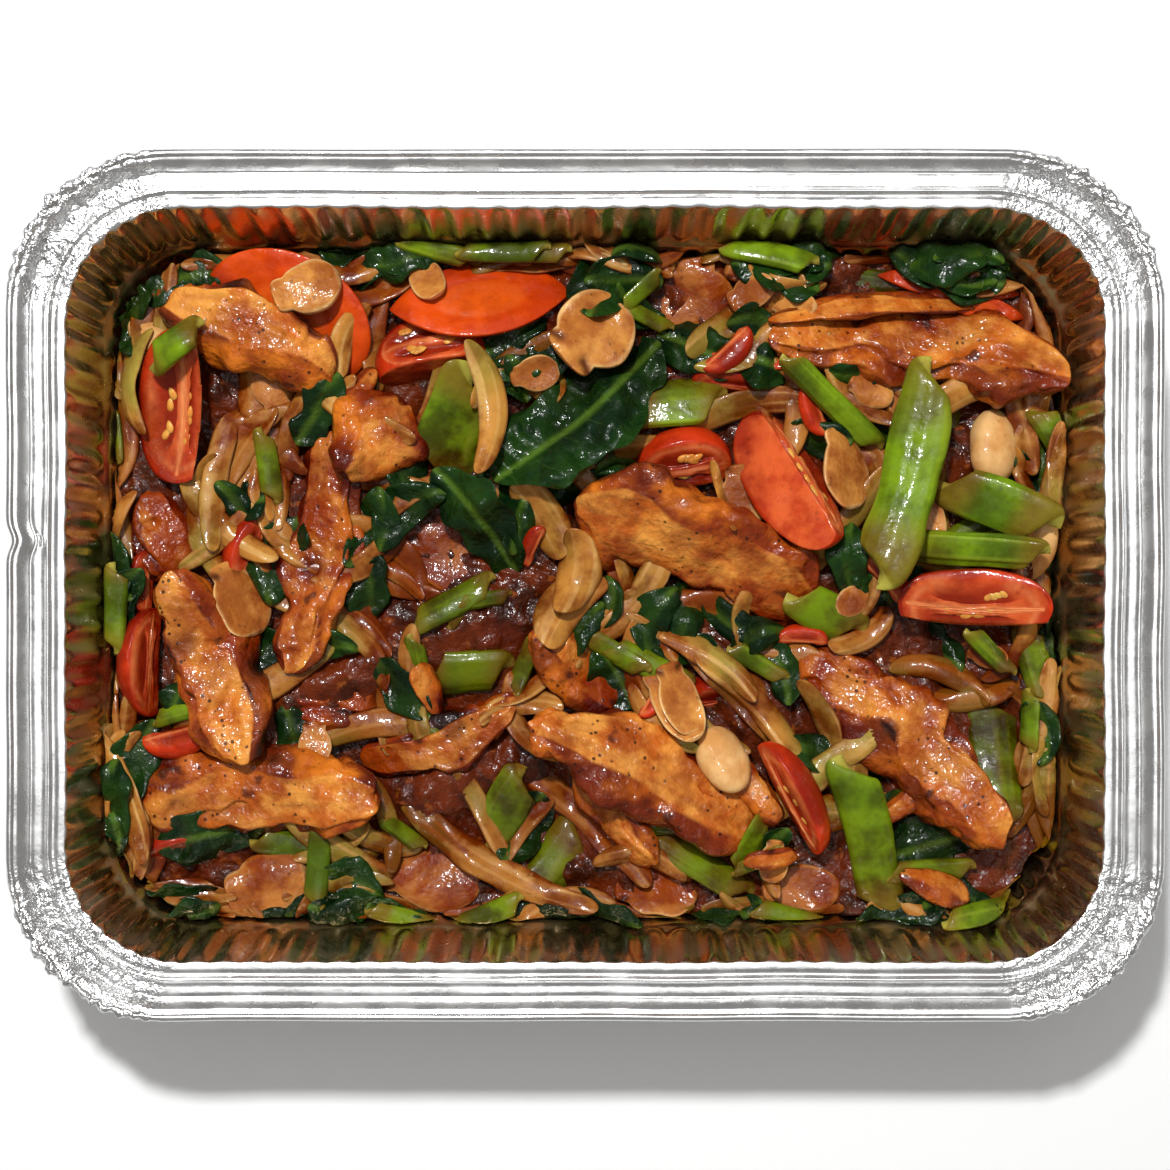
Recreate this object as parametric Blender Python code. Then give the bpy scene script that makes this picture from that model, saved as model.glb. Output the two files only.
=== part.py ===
"""A rectangular foil takeaway tray holding a chicken and vegetable stir-fry.

Run it with: blender --background --python part.py
The origin is under the middle of the tray, on the surface that it stands on. +X runs along
the tray's length and +Z points up. Sizes and places are written in millimetres, and MM turns
them into Blender's metres where a mesh or an object's place is made.
"""

import math
from collections import namedtuple

import bpy
import numpy as np
from mathutils import Euler

MM = 0.001

# The tray: a pressed foil pan with a fluted wall, a stepped ledge, a flange and a rolled edge.
TRAY_LENGTH = 209.0
TRAY_WIDTH = 157.5
TRAY_HEIGHT = 42.0
RIM_WIDTH = 10.4
FOIL = 0.6
WALL_INSET = 10.6
LIP_RADIUS = 21.0
BASE_RADIUS = 15.0
EDGE_RADIUS = 29.0
BEAD_RADIUS = 1.75
BEAD_SWELL = 0.35
BEAD_RISE = 0.85
LEDGE_DROP = 1.55
LEDGE_WIDTH = 2.0
STEP_WIDTH = 0.9
FLUTE_DEPTH = 0.9
LONG_FLUTES, SHORT_FLUTES, CORNER_FLUTES = 28, 18, 6

FLANGE_Z = TRAY_HEIGHT - BEAD_RISE
LEDGE_Z = FLANGE_Z - LEDGE_DROP
BEAD_Z = TRAY_HEIGHT - BEAD_RADIUS
LIP_HALF = (TRAY_LENGTH / 2 - RIM_WIDTH, TRAY_WIDTH / 2 - RIM_WIDTH)

# The heap: how the pieces settle on the bed of small vegetables and sauce.
GAP = 0.35
CELL = 0.5
GROUND_EDGE = 16.0
GROUND_MIDDLE = 15.5
BED_EDGE = 19.0
BED_MIDDLE = 19.0
BED_STEP = 7.5
BED_TUCK = 1.5

COLOURS = {
    "foil": ((0.80, 0.80, 0.81), 0.25, 1.0),
    "sauce": ((0.20, 0.045, 0.015), 0.25, 0.0),
    "chicken": ((0.52, 0.20, 0.05), 0.35, 0.0),
    "tomato": ((0.55, 0.06, 0.02), 0.30, 0.0),
    "carrot": ((0.78, 0.17, 0.01), 0.40, 0.0),
    "mushroom": ((0.52, 0.28, 0.10), 0.40, 0.0),
    "peanut": ((0.62, 0.38, 0.17), 0.40, 0.0),
    "stalk": ((0.28, 0.40, 0.04), 0.35, 0.0),
    "leaf": ((0.02, 0.07, 0.02), 0.35, 0.0),
    "onion": ((0.55, 0.33, 0.12), 0.35, 0.0),
}

# One piece of food. kind picks its shape and colour, x and y are the middle of the piece, and
# size is its length, width and thickness. heading turns it about Z, bow is how far its middle
# stands off to the left, and roll turns it about its own length before it comes to rest.
Piece = namedtuple("Piece", "name kind x y heading size bow roll", defaults=(0, 0))

# In the order in which they come to rest, so that a later piece lies on the earlier ones.
PIECES = (
    Piece("leaf_1", "leaf", 67.0, -46.5, 10, (19, 13, 1.0)),
    Piece("leaf_2", "leaf", -66.0, -51.0, -20, (22, 14, 1.0)),
    Piece("tomato_1", "wedge", -81.5, -14.5, 88, (21, 12, 9), 0, -20),
    Piece("tomato_2", "wedge", 18.5, 22.5, 10, (19, 15, 9)),
    Piece("tomato_3", "wedge", -28.8, 42.2, 10, (22, 17, 9), 0, -10),
    Piece("tomato_4", "wedge", 25.0, -21.5, 10, (13, 11, 7)),
    Piece("carrot_1", "slice", -56.0, 49.5, -25, (34, 25, 3.5), 0, 3),
    Piece("carrot_2", "slice", -27.5, -42.0, 20, (13, 12, 3.5)),
    Piece("mushroom_1", "cap", 20.6, 54.5, -80, (16, 15, 3.0), 0, 8),
    Piece("mushroom_2", "cap", 13.0, -57.5, -5, (17, 9, 3.6)),
    Piece("mushroom_3", "cap", 40.4, -57.0, -3, (16, 9, 4.5)),
    Piece("mushroom_4", "cap", -29.6, -55.5, -5, (21, 12, 3.6)),
    Piece("mushroom_5", "cap", -60.0, -56.0, 16, (17, 12, 4.5)),
    Piece("stalk_1", "stalk", 77.0, -32.0, -87, (20, 10.5, 5.0)),
    Piece("stalk_2", "stalk", 69.0, 27.0, -75, (21, 9, 4.0)),
    Piece("stalk_3", "stalk", -24.0, 28.5, 70, (18, 14, 4.0), 0, 8),
    Piece("stalk_4", "stalk", -6.0, -53.0, 52, (16, 9.5, 5.0)),
    Piece("stalk_5", "stalk", 17.5, 34.0, 5, (14, 9, 4.5)),
    Piece("stalk_6", "stalk", 52.0, 57.5, -5, (22, 5.5, 4.0)),
    Piece("leaf_3", "leaf", 61.5, -10.5, -28, (23, 13, 1.0)),
    Piece("leaf_4", "leaf", -19.7, -11.0, 3, (22, 9, 1.0)),
    Piece("onion_1", "strip", -0.5, -43.5, -42, (36, 7.0, 2.0), 2.0),
    Piece("onion_2", "strip", 73.5, -19.5, 14, (22, 5.0, 2.0), -3.5),
    Piece("onion_3", "strip", -6.0, -1.5, 62, (20, 10, 2.4), 1.5),
    Piece("stalk_7", "stalk", -22.0, -16.5, 4, (13.0, 9, 5.0)),
    Piece("stalk_8", "stalk", 21.5, -52.5, -32, (20, 6.5, 4.5)),
    Piece("chicken_1", "meat", -27.0, -28.5, 22, (32, 10, 8.5), -2.5),
    Piece("chicken_2", "meat", -49.5, -20.5, -12, (20, 12, 7)),
    Piece("chicken_3", "meat", -1.5, -16.0, -44, (22, 12, 8)),
    Piece("chicken_4", "meat", -79.5, 8.5, -74, (20, 11, 9)),
    Piece("onion_4", "strip", 29.5, -21.0, -46, (30, 7.5, 2.2), 2.0),
    Piece("chicken_5", "meat", 62.0, 44.0, -8, (56, 15.5, 10), 3.0),
    Piece("chicken_6", "meat", -61.5, -38.5, 0, (47, 16, 10.5), 1.0),
    Piece("chicken_7", "meat", 59.5, -30.0, -43, (50, 16, 10), 1.0),
    Piece("chicken_8", "meat", 11.5, -35.8, -28, (48, 16, 9), 2.0),
    Piece("chicken_9", "meat", 21.5, 6.9, -24, (49, 18, 10.5), 1.5),
    Piece("chicken_10", "meat", -50.3, 6.0, 80, (46, 13.5, 10), -1.2),
    Piece("chicken_11", "meat", -69.0, -15.0, -68, (38, 15.5, 10), 1.0),
    Piece("chicken_12", "meat", -62.0, 46.0, -24, (35, 14, 9), 1.5),
    Piece("mushroom_6", "cap", -26.5, 6.4, -50, (17, 13, 4.0), 0, 8),
    Piece("mushroom_7", "cap", 16.5, -21.5, -60, (17, 8.5, 3.4), 0, 14),
    Piece("tomato_5", "wedge", 38.6, 20.0, -60, (30, 18, 11), 0, 12),
    Piece("tomato_6", "wedge", 38.6, -39.5, -62, (24, 13, 9), 0, 25),
    Piece("peanut_1", "nut", 76.5, 25.8, 88, (15, 10, 9)),
    Piece("peanut_2", "nut", 84.5, 7.0, 74, (13, 7.6, 7.2)),
    Piece("stalk_9", "stalk", 76.5, 15.0, -24, (19, 9.5, 4.5)),
    Piece("stalk_10", "stalk", 72.0, 6.5, -4, (23, 6.6, 5.0)),
    Piece("stalk_11", "stalk", 46.0, 34.0, -43, (23, 5.0, 4.0)),
    Piece("stalk_12", "stalk", 52.7, -47.3, -76, (28, 9.5, 5.5), 0.8),
    Piece("carrot_3", "lens", -19.5, 53.5, 7, (35, 15, 4.0), 0, -8),
    Piece("leaf_5", "leaf", -1.0, 32.0, 40, (42, 18, 1.2), -2.0),
    Piece("leaf_6", "leaf", -20.0, 12.0, -52, (26, 11, 1.1), 1.5),
    Piece("mushroom_8", "cap", 1.3, 46.9, 42, (17, 15.5, 4.0), 0, 10),
    Piece("tomato_7", "half", -75.0, 33.0, 86, (29, 19.5, 8.5), 0, 165),
    Piece("tomato_8", "half", 71.8, -4.5, -3, (28.5, 16.0, 8.5), 0, 162),
    Piece("stalk_13", "stalk", 59.5, 20.5, 75, (38, 11.0, 6.0), -1.0),
    Piece("onion_5", "strip", -18.8, 33.0, -85, (25, 5.5, 2.4), 3.5),
    Piece("onion_6", "strip", -17.5, -51.0, -30, (44, 6.0, 2.6), -3.5),
)

# How far a piece of each kind gives as it settles: the share of its half length that its ends
# may rise or fall, of its half width that its sides may, and of its length that it may bend.
GIVE = {
    "meat": (0.30, 0.35, 0.12),
    "wedge": (0.35, 0.35, 0.0),
    "half": (0.30, 0.40, 0.0),
    "slice": (0.40, 0.40, 0.0),
    "lens": (0.40, 0.40, 0.03),
    "cap": (0.50, 0.60, 0.0),
    "nut": (0.35, 0.2, 0.0),
    "stalk": (0.35, 0.30, 0.03),
    "leaf": (0.45, 0.60, 0.20),
    "strip": (0.40, 0.50, 0.16),
}

KIND_COLOUR = {
    "meat": "chicken",
    "wedge": "tomato",
    "half": "tomato",
    "slice": "carrot",
    "lens": "carrot",
    "cap": "mushroom",
    "nut": "peanut",
    "stalk": "stalk",
    "leaf": "leaf",
    "strip": "onion",
}


def clear_scene():
    for obj in list(bpy.data.objects):
        bpy.data.objects.remove(obj)


def material(name):
    """The Principled material of one kind of food, or of the foil, made once."""
    found = bpy.data.materials.get(name)
    if found:
        return found
    colour, roughness, metallic = COLOURS[name]
    made = bpy.data.materials.new(name)
    made.use_nodes = True
    shader = made.node_tree.nodes["Principled BSDF"]
    shader.inputs["Base Color"].default_value = (*colour, 1.0)
    shader.inputs["Roughness"].default_value = roughness
    shader.inputs["Metallic"].default_value = metallic
    made.diffuse_color = (*colour, 1.0)
    return made


def add_solid(name, points, faces, colour):
    """An object from points in millimetres and faces that point outwards."""
    mesh = bpy.data.meshes.new(name)
    mesh.from_pydata((np.asarray(points) * MM).tolist(), [], faces)
    mesh.validate()
    mesh.shade_smooth()
    mesh.set_sharp_from_angle(angle=math.radians(35))
    mesh.materials.append(material(colour))
    obj = bpy.data.objects.new(name, mesh)
    bpy.context.scene.collection.objects.link(obj)
    return obj


def band(first, second):
    """Quads between two rings of point numbers; the outside is to the right of their run."""
    following = list(first[1:]) + [first[0]]
    across = list(second[1:]) + [second[0]]
    return [tuple(q) for q in zip(first, following, across, second)]


def loft(rings):
    """Points and faces of a closed body through rings of equal size, capped at both ends."""
    count, size = rings.shape[:2]
    numbers = np.arange(count * size).reshape(count, size)
    faces = [tuple(numbers[0][::-1]), tuple(numbers[-1])]
    for ring, following in zip(numbers[:-1], numbers[1:]):
        faces += band(ring, following)
    return rings.reshape(-1, 3), faces


# ---------------------------------------------------------------- the tray


def outline(half_x, half_y, radius, long_steps, short_steps, corner_steps):
    """A rounded rectangle, counter-clockwise from the start of its lower right corner.

    Gives the points, the outward normals, and how far into a corner each one is, 0 to 1.
    """
    points, normals, turned = [], [], []
    corners = ((1, -1, -90), (1, 1, 0), (-1, 1, 90), (-1, -1, 180))
    for number, (side_x, side_y, start) in enumerate(corners):
        centre = np.array([side_x * (half_x - radius), side_y * (half_y - radius)])
        for step in range(corner_steps):
            angle = math.radians(start + 90 * step / corner_steps)
            normal = np.array([math.cos(angle), math.sin(angle)])
            points.append(centre + radius * normal)
            normals.append(normal)
            turned.append(step / corner_steps)
        angle = math.radians(start + 90)
        normal = np.array([math.cos(angle), math.sin(angle)])
        along = np.array([-normal[1], normal[0]])
        run = 2 * (half_y - radius if number % 2 == 0 else half_x - radius)
        steps = short_steps if number % 2 == 0 else long_steps
        for step in range(steps):
            points.append(centre + radius * normal + along * run * step / steps)
            normals.append(normal)
            turned.append(0.0)
    return np.array(points), np.array(normals), np.array(turned)


def wall_size(z):
    """Half length, half width and corner radius of the inner wall at a height."""
    share = (z - FOIL) / (LEDGE_Z - FOIL)
    inset = WALL_INSET * (1 - share)
    radius = BASE_RADIUS + (LIP_RADIUS - BASE_RADIUS) * share
    return LIP_HALF[0] - inset, LIP_HALF[1] - inset, radius


def fluted_ring(z, out):
    """A ring of the fluted wall at a height, grown outwards by a distance."""
    half_x, half_y, radius = wall_size(max(z, FOIL))
    flat, normals, _ = outline(
        half_x + out, half_y + out, radius + out,
        2 * LONG_FLUTES, 2 * SHORT_FLUTES, 2 * CORNER_FLUTES,
    )
    wave = FLUTE_DEPTH / 2 * np.where(np.arange(len(flat)) % 2, 1.0, -1.0)
    flat = flat + normals * wave[:, None]
    return np.column_stack([flat, np.full(len(flat), z)])


def rim_ring(out, z, swell_out=0.0):
    """A plain ring of the rim, at a distance outside the lip. It swells round the corners."""
    radius = LIP_RADIUS + (EDGE_RADIUS - LIP_RADIUS) * out / RIM_WIDTH
    flat, normals, turned = outline(
        LIP_HALF[0] + out, LIP_HALF[1] + out, radius, 1, 1, 2 * CORNER_FLUTES
    )
    swell = np.sin(math.pi * turned) ** 0.5
    flat = flat + normals * (swell_out * swell)[:, None]
    return np.column_stack([flat, np.full(len(flat), z)])


def joined_rings(fine, coarse, outwards):
    """Flat faces between a fluted ring and a plain one, whose corners have the same steps."""
    corner = 2 * CORNER_FLUTES
    faces, fine_at, coarse_at = [], 0, 0
    for side in range(4):
        side_steps = 2 * (SHORT_FLUTES if side % 2 == 0 else LONG_FLUTES)
        for steps in [1] * corner + [side_steps]:
            inner = [fine[(fine_at + i) % len(fine)] for i in range(steps + 1)]
            outer = [coarse[coarse_at], coarse[(coarse_at + 1) % len(coarse)]]
            face = outer + inner[::-1]
            faces.append(tuple(face if outwards else face[::-1]))
            fine_at += steps
            coarse_at += 1
    return faces


def make_tray():
    """Floor, fluted wall, ledge, step, flange and rolled edge as one foil solid."""
    bead_out = RIM_WIDTH - BEAD_RADIUS
    roll = np.radians([128, 92, 56, 20, -20, -60, -100, -140])
    flange_end = bead_out - BEAD_RADIUS * 0.95
    step_end = LEDGE_WIDTH + STEP_WIDTH
    rings = [
        fluted_ring(0.0, FOIL),
        fluted_ring(LEDGE_Z - FOIL, FOIL),
        rim_ring(LEDGE_WIDTH + FOIL / 2, LEDGE_Z - FOIL),
        rim_ring(step_end + FOIL / 2, FLANGE_Z - FOIL),
        rim_ring(flange_end, FLANGE_Z - FOIL),
    ]
    for angle in roll[::-1]:
        out, up = math.cos(angle), math.sin(angle)
        z = BEAD_Z + BEAD_RADIUS * up
        rings.append(rim_ring(bead_out + BEAD_RADIUS * out, z, BEAD_SWELL * out))
    rings += [
        rim_ring(flange_end, FLANGE_Z),
        rim_ring(step_end, FLANGE_Z),
        rim_ring(LEDGE_WIDTH, LEDGE_Z),
        fluted_ring(LEDGE_Z, 0.0),
        fluted_ring(FOIL, 0.0),
    ]
    starts = np.cumsum([0] + [len(ring) for ring in rings])
    numbers = [list(range(a, b)) for a, b in zip(starts[:-1], starts[1:])]
    faces = [tuple(numbers[0][::-1]), tuple(numbers[-1])]
    faces += band(numbers[0], numbers[1])
    faces += joined_rings(numbers[1], numbers[2], False)
    for ring, following in zip(numbers[2:-3], numbers[3:-2]):
        faces += band(ring, following)
    faces += joined_rings(numbers[-2], numbers[-3], True)
    faces += band(numbers[-2], numbers[-1])
    return add_solid("tray", np.concatenate(rings), faces, "foil")


# ---------------------------------------------------------------- the pieces of food


def power(values, exponent):
    """A power that keeps the sign, which turns a circle into a squarer, fuller round."""
    return np.sign(values) * np.abs(values) ** exponent


def swept(stations, sections, size, bow):
    """Rings of (y, z) sections set along a gently bowed line of the piece's length."""
    length = size[0]
    rings = np.empty((len(stations), sections.shape[1], 3))
    rings[:, :, 0] = stations[:, None] * length / 2
    rings[:, :, 1:] = sections
    rings[:, :, 1] += (bow * (1 - stations**2) - bow / 2)[:, None]
    return rings


def round_angles(count):
    return 2 * math.pi * (np.arange(count) + 0.5) / count


def meat(piece, random):
    """A torn strip of chicken: a full, uneven round that narrows at both ends."""
    _, width, thick = piece.size
    stations = np.array([-1, -0.88, -0.6, -0.2, 0.2, 0.6, 0.88, 1])
    angles = round_angles(8)
    girth = (1 - np.abs(stations) ** 3.2) ** 0.5 * 0.55 + 0.45
    girth = girth * (1 + 0.10 * random.uniform(-1, 1, len(stations)))
    sections = np.empty((len(stations), len(angles), 2))
    sections[:, :, 0] = width / 2 * girth[:, None] * power(np.cos(angles), 0.75)
    sections[:, :, 1] = thick / 2 * girth[:, None] * power(np.sin(angles), 0.75)
    sections *= 1 + 0.06 * random.uniform(-1, 1, sections.shape[:2])[:, :, None]
    return swept(stations, sections, piece.size, piece.bow)


def stalk(piece, _):
    """A cut length of green stalk: rounded above, flatter below, with blunt ends."""
    _, width, thick = piece.size
    stations = np.array([-1, -0.9, -0.3, 0.3, 0.9, 1])
    angles = round_angles(8)
    girth = np.array([0.72, 0.94, 1.0, 1.0, 0.9, 0.66])
    sections = np.empty((len(stations), len(angles), 2))
    sections[:, :, 0] = width / 2 * girth[:, None] * power(np.cos(angles), 0.7)
    sections[:, :, 1] = thick / 2 * girth[:, None] * power(np.sin(angles), 0.8)
    return swept(stations, sections, piece.size, piece.bow)


def nut(piece, _):
    """A whole peanut kernel: a blunt egg."""
    _, width, thick = piece.size
    turns = np.radians([14, 42, 70, 98, 126, 154, 166])
    stations = -np.cos(turns)
    angles = round_angles(8)
    girth = np.sin(turns) ** 0.75
    sections = np.empty((len(stations), len(angles), 2))
    sections[:, :, 0] = width / 2 * girth[:, None] * np.cos(angles)
    sections[:, :, 1] = thick / 2 * girth[:, None] * np.sin(angles)
    return swept(stations, sections, piece.size, piece.bow)


def crescent(width, thick, arch, half_points):
    """A thin section arched across its width: along its underside, then back over its top."""
    across = np.linspace(-1, 1, half_points)
    rise = arch * (1 - across**2) - arch / 2
    under = np.column_stack([width / 2 * across, rise - thick / 2])
    over = np.column_stack([width / 2 * across, rise + thick / 2])
    return np.concatenate([under, over[::-1]])


def strip(piece, _):
    """A strip of cooked onion: a thin plate arched across its width, narrower at the ends."""
    _, width, thick = piece.size
    stations = np.linspace(-1, 1, 8)
    girth = (1 - np.abs(stations) ** 2.4) ** 0.5 * 0.7 + 0.3
    sections = np.array([crescent(width * g, thick * 0.6, thick * 0.5, 4) for g in girth])
    return swept(stations, sections, piece.size, piece.bow)


def leaf(piece, random):
    """A cooked leaf: a pointed sheet that waves along its length."""
    length, width, thick = piece.size
    stations = np.array([-0.97, -0.75, -0.45, -0.15, 0.15, 0.45, 0.75, 0.97])
    girth = (1 - np.abs(stations) ** 2.2) ** 0.6
    phase = random.uniform(0, 2 * math.pi)
    wave = length / 28 * np.sin(3.2 * stations + phase)
    sections = np.array([crescent(width * g, thick, width * 0.09, 4) for g in girth])
    sections[:, :, 1] += wave[:, None]
    return swept(stations, sections, piece.size, piece.bow)


def tomato(piece, skin_share):
    """Part of a small tomato: a skin arc above its two cut faces, which meet at the core."""
    _, width, thick = piece.size
    turns = np.radians([12, 35, 62, 90, 118, 145, 168])
    stations = -np.cos(turns)
    girth = np.sin(turns) ** 0.85
    arc = np.linspace(-90, 90, 7)
    skin = np.column_stack([
        width / 2 * np.sin(np.radians(arc)),
        thick * skin_share * np.cos(np.radians(arc)) - thick * (skin_share - 0.5),
    ])
    core = [[0.0, -thick / 2]] if skin_share < 1 else []
    section = np.concatenate([skin[::-1], np.array(core).reshape(-1, 2)])
    middle = np.array([0.0, thick * (0.5 - skin_share)])
    sections = middle + girth[:, None, None] * (section - middle)
    return swept(stations, sections, piece.size, piece.bow)


def wedge(piece, _):
    return tomato(piece, 0.45)


def half(piece, _):
    return tomato(piece, 1.0)


def plate(shape, thick):
    """Rings of a flat piece: its outline, (x, y), drawn in a little at both faces."""
    levels = np.array([-0.5, -0.26, 0.26, 0.5]) * thick
    inset = np.array([0.9, 1.0, 1.0, 0.9])
    rings = np.empty((len(levels), len(shape), 3))
    rings[:, :, :2] = shape * inset[:, None, None]
    rings[:, :, 2] = levels[:, None]
    return rings


def slice_(piece, _):
    """A round of carrot cut at a slant: an oval plate."""
    length, width, thick = piece.size
    angles = round_angles(16)
    shape = np.column_stack([length / 2 * np.cos(angles), width / 2 * np.sin(angles)])
    return plate(shape, thick)


def lens(piece, _):
    """A slice of carrot cut along its length: an oval drawn out to two points."""
    length, width, thick = piece.size
    angles = round_angles(16)
    shape = np.column_stack([
        length / 2 * np.cos(angles),
        width / 2 * power(np.sin(angles), 1.5),
    ])
    return plate(shape, thick)


def cap(piece, _):
    """A slice of mushroom: a broad cap at +X that runs into a short stem."""
    length, width, thick = piece.size
    angles = round_angles(14)
    waist = 1 - 0.30 * np.exp(-(((np.abs(np.degrees(angles) - 180) - 42) / 26) ** 2))
    shape = np.column_stack([
        length / 2 * np.cos(angles) * waist,
        width / 2 * np.sin(angles) * waist,
    ])
    return plate(shape, thick)


MAKERS = {
    "meat": meat,
    "stalk": stalk,
    "nut": nut,
    "strip": strip,
    "leaf": leaf,
    "wedge": wedge,
    "half": half,
    "slice": slice_,
    "lens": lens,
    "cap": cap,
}


# ---------------------------------------------------------------- how the heap settles


def heap_grid():
    """The middles of the cells that the settling is worked out on."""
    across = np.arange(-LIP_HALF[0], LIP_HALF[0], CELL) + CELL / 2
    along = np.arange(-LIP_HALF[1], LIP_HALF[1], CELL) + CELL / 2
    return np.meshgrid(across, along, indexing="ij")


def inset_from(x, y, size):
    """How far inside a rounded rectangle each place is, negative outside it."""
    half_x, half_y, radius = size
    past_x = np.abs(x) - (half_x - radius)
    past_y = np.abs(y) - (half_y - radius)
    outside = np.hypot(np.maximum(past_x, 0), np.maximum(past_y, 0))
    return radius - outside - np.minimum(np.maximum(past_x, past_y), 0)


def mound(x, y, edge, middle):
    """A height that rises softly from the wall towards the middle of the tray."""
    inset = inset_from(x, y, wall_size(GROUND_EDGE)) / LIP_HALF[1]
    return edge + (middle - edge) * np.sin(np.clip(inset, 0, 1) * math.pi / 2)


def pan_height(x, y):
    """What the first pieces rest on: the small vegetables, and the wall where it is higher."""
    height = mound(x, y, GROUND_EDGE, GROUND_MIDDLE)
    for z in np.arange(GROUND_EDGE, LEDGE_Z, 0.5):
        beyond = inset_from(x, y, wall_size(z)) < FLUTE_DEPTH / 2 + GAP
        height[beyond] = z + 0.5
    return height


def span_of(points, faces, shape):
    """The lowest and highest surface of a body above each cell of the heap's grid."""
    low, high = np.full(shape, np.inf), np.full(shape, -np.inf)
    origin = -np.array(LIP_HALF)
    for face in faces:
        for second, third in zip(face[1:-1], face[2:]):
            corners = points[[face[0], second, third]]
            flat = (corners[:, :2] - origin) / CELL - 0.5
            first = np.maximum(np.floor(flat.min(0)).astype(int), 0)
            last = np.minimum(np.ceil(flat.max(0)).astype(int) + 1, shape)
            if (first >= last).any():
                continue
            i, j = np.meshgrid(*(np.arange(a, b) for a, b in zip(first, last)), indexing="ij")
            edges = flat[1:] - flat[0]
            area = edges[0, 0] * edges[1, 1] - edges[0, 1] * edges[1, 0]
            if abs(area) < 1e-9:
                continue
            off_i, off_j = i - flat[0, 0], j - flat[0, 1]
            b = (off_i * edges[1, 1] - off_j * edges[1, 0]) / area
            c = (off_j * edges[0, 0] - off_i * edges[0, 1]) / area
            inside = (b >= -0.02) & (c >= -0.02) & (b + c <= 1.02)
            z = corners[0, 2] + b * (corners[1, 2] - corners[0, 2])
            z = z + c * (corners[2, 2] - corners[0, 2])
            place = (slice(first[0], last[0]), slice(first[1], last[1]))
            low[place] = np.where(inside, np.minimum(low[place], z), low[place])
            high[place] = np.where(inside, np.maximum(high[place], z), high[place])
    return low, high


def spread(values, pick, reach=1):
    """Each cell takes the lowest or highest value of the cells around it."""
    for axis in (0, 1):
        shifted = [np.roll(values, step, axis) for step in range(-reach, reach + 1)]
        values = pick.reduce(shifted)
    return values


def own_axes(x, y, piece):
    """How far along and across a piece each place is, from -1 to 1."""
    turn = math.radians(piece.heading)
    along = (x - piece.x) * math.cos(turn) + (y - piece.y) * math.sin(turn)
    across = (y - piece.y) * math.cos(turn) - (x - piece.x) * math.sin(turn)
    return along / (piece.size[0] / 2), across / (piece.size[1] / 2)


def resting_shape(need, along, across, piece):
    """The lift, two tilts and a bend with which a piece lies lowest on what is below it."""
    length_give, width_give, bend_give = GIVE[piece.kind]
    rises = np.linspace(-1, 1, 9) * length_give * piece.size[0] / 2
    leans = np.linspace(-1, 1, 7) * width_give * piece.size[1] / 2
    bends = np.linspace(-1, 1, 5 if bend_give else 1) * bend_give * piece.size[0]
    best = None
    for rise in rises:
        for lean in leans:
            for bend in bends:
                shape = rise * along + lean * across + bend * along**2
                lift = (need - shape).max() + GAP
                cost = lift + shape.mean() + 0.08 * (abs(rise) + abs(lean) + abs(bend))
                if best is None or cost < best[0]:
                    best = (cost, lift, rise, lean, bend)
    return best[1:]


def settle(pieces):
    """Makes each piece and lets it down until it rests a gap above what is already there.

    Gives the lowest underside above each cell, which is as high as the bed may come.
    """
    x, y = heap_grid()
    ground = pan_height(x, y)
    ceiling = np.full(x.shape, np.inf)
    for number, piece in enumerate(pieces):
        points, faces = loft(MAKERS[piece.kind](piece, np.random.default_rng(number)))
        turn = Euler((math.radians(piece.roll), 0, math.radians(piece.heading)))
        points = points @ np.array(turn.to_matrix()).T + [piece.x, piece.y, 0]
        low, _ = span_of(points, faces, x.shape)
        low = spread(low, np.minimum)
        under = np.isfinite(low)
        along, across = own_axes(x[under], y[under], piece)
        need = (ground - low)[under]
        lift, rise, lean, bend = resting_shape(need, along, across, piece)
        along, across = own_axes(points[:, 0], points[:, 1], piece)
        points[:, 2] += lift + rise * along + lean * across + bend * along**2
        low, high = span_of(points, faces, x.shape)
        ground = np.maximum(ground, spread(high, np.maximum))
        ceiling = np.minimum(ceiling, spread(low, np.minimum))
        add_solid(piece.name, points, faces, KIND_COLOUR[piece.kind])
        print(f"{piece.name}: {points[:, 2].min():.1f} to {points[:, 2].max():.1f} mm high")
    return ceiling


def rounded_grid(columns, rows, size):
    """A grid of places that fills a rounded rectangle, its corner squares drawn into discs."""
    half_x, half_y, radius = size
    x, y = np.meshgrid(
        np.linspace(-half_x, half_x, columns), np.linspace(-half_y, half_y, rows), indexing="ij"
    )
    past_x = np.clip((np.abs(x) - half_x + radius) / radius, 0, 1)
    past_y = np.clip((np.abs(y) - half_y + radius) / radius, 0, 1)
    drawn_x = past_x * (1 - np.sqrt(1 - past_y**2 / 2))
    drawn_y = past_y * (1 - np.sqrt(1 - past_x**2 / 2))
    return x - np.sign(x) * radius * drawn_x, y - np.sign(y) * radius * drawn_y


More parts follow.
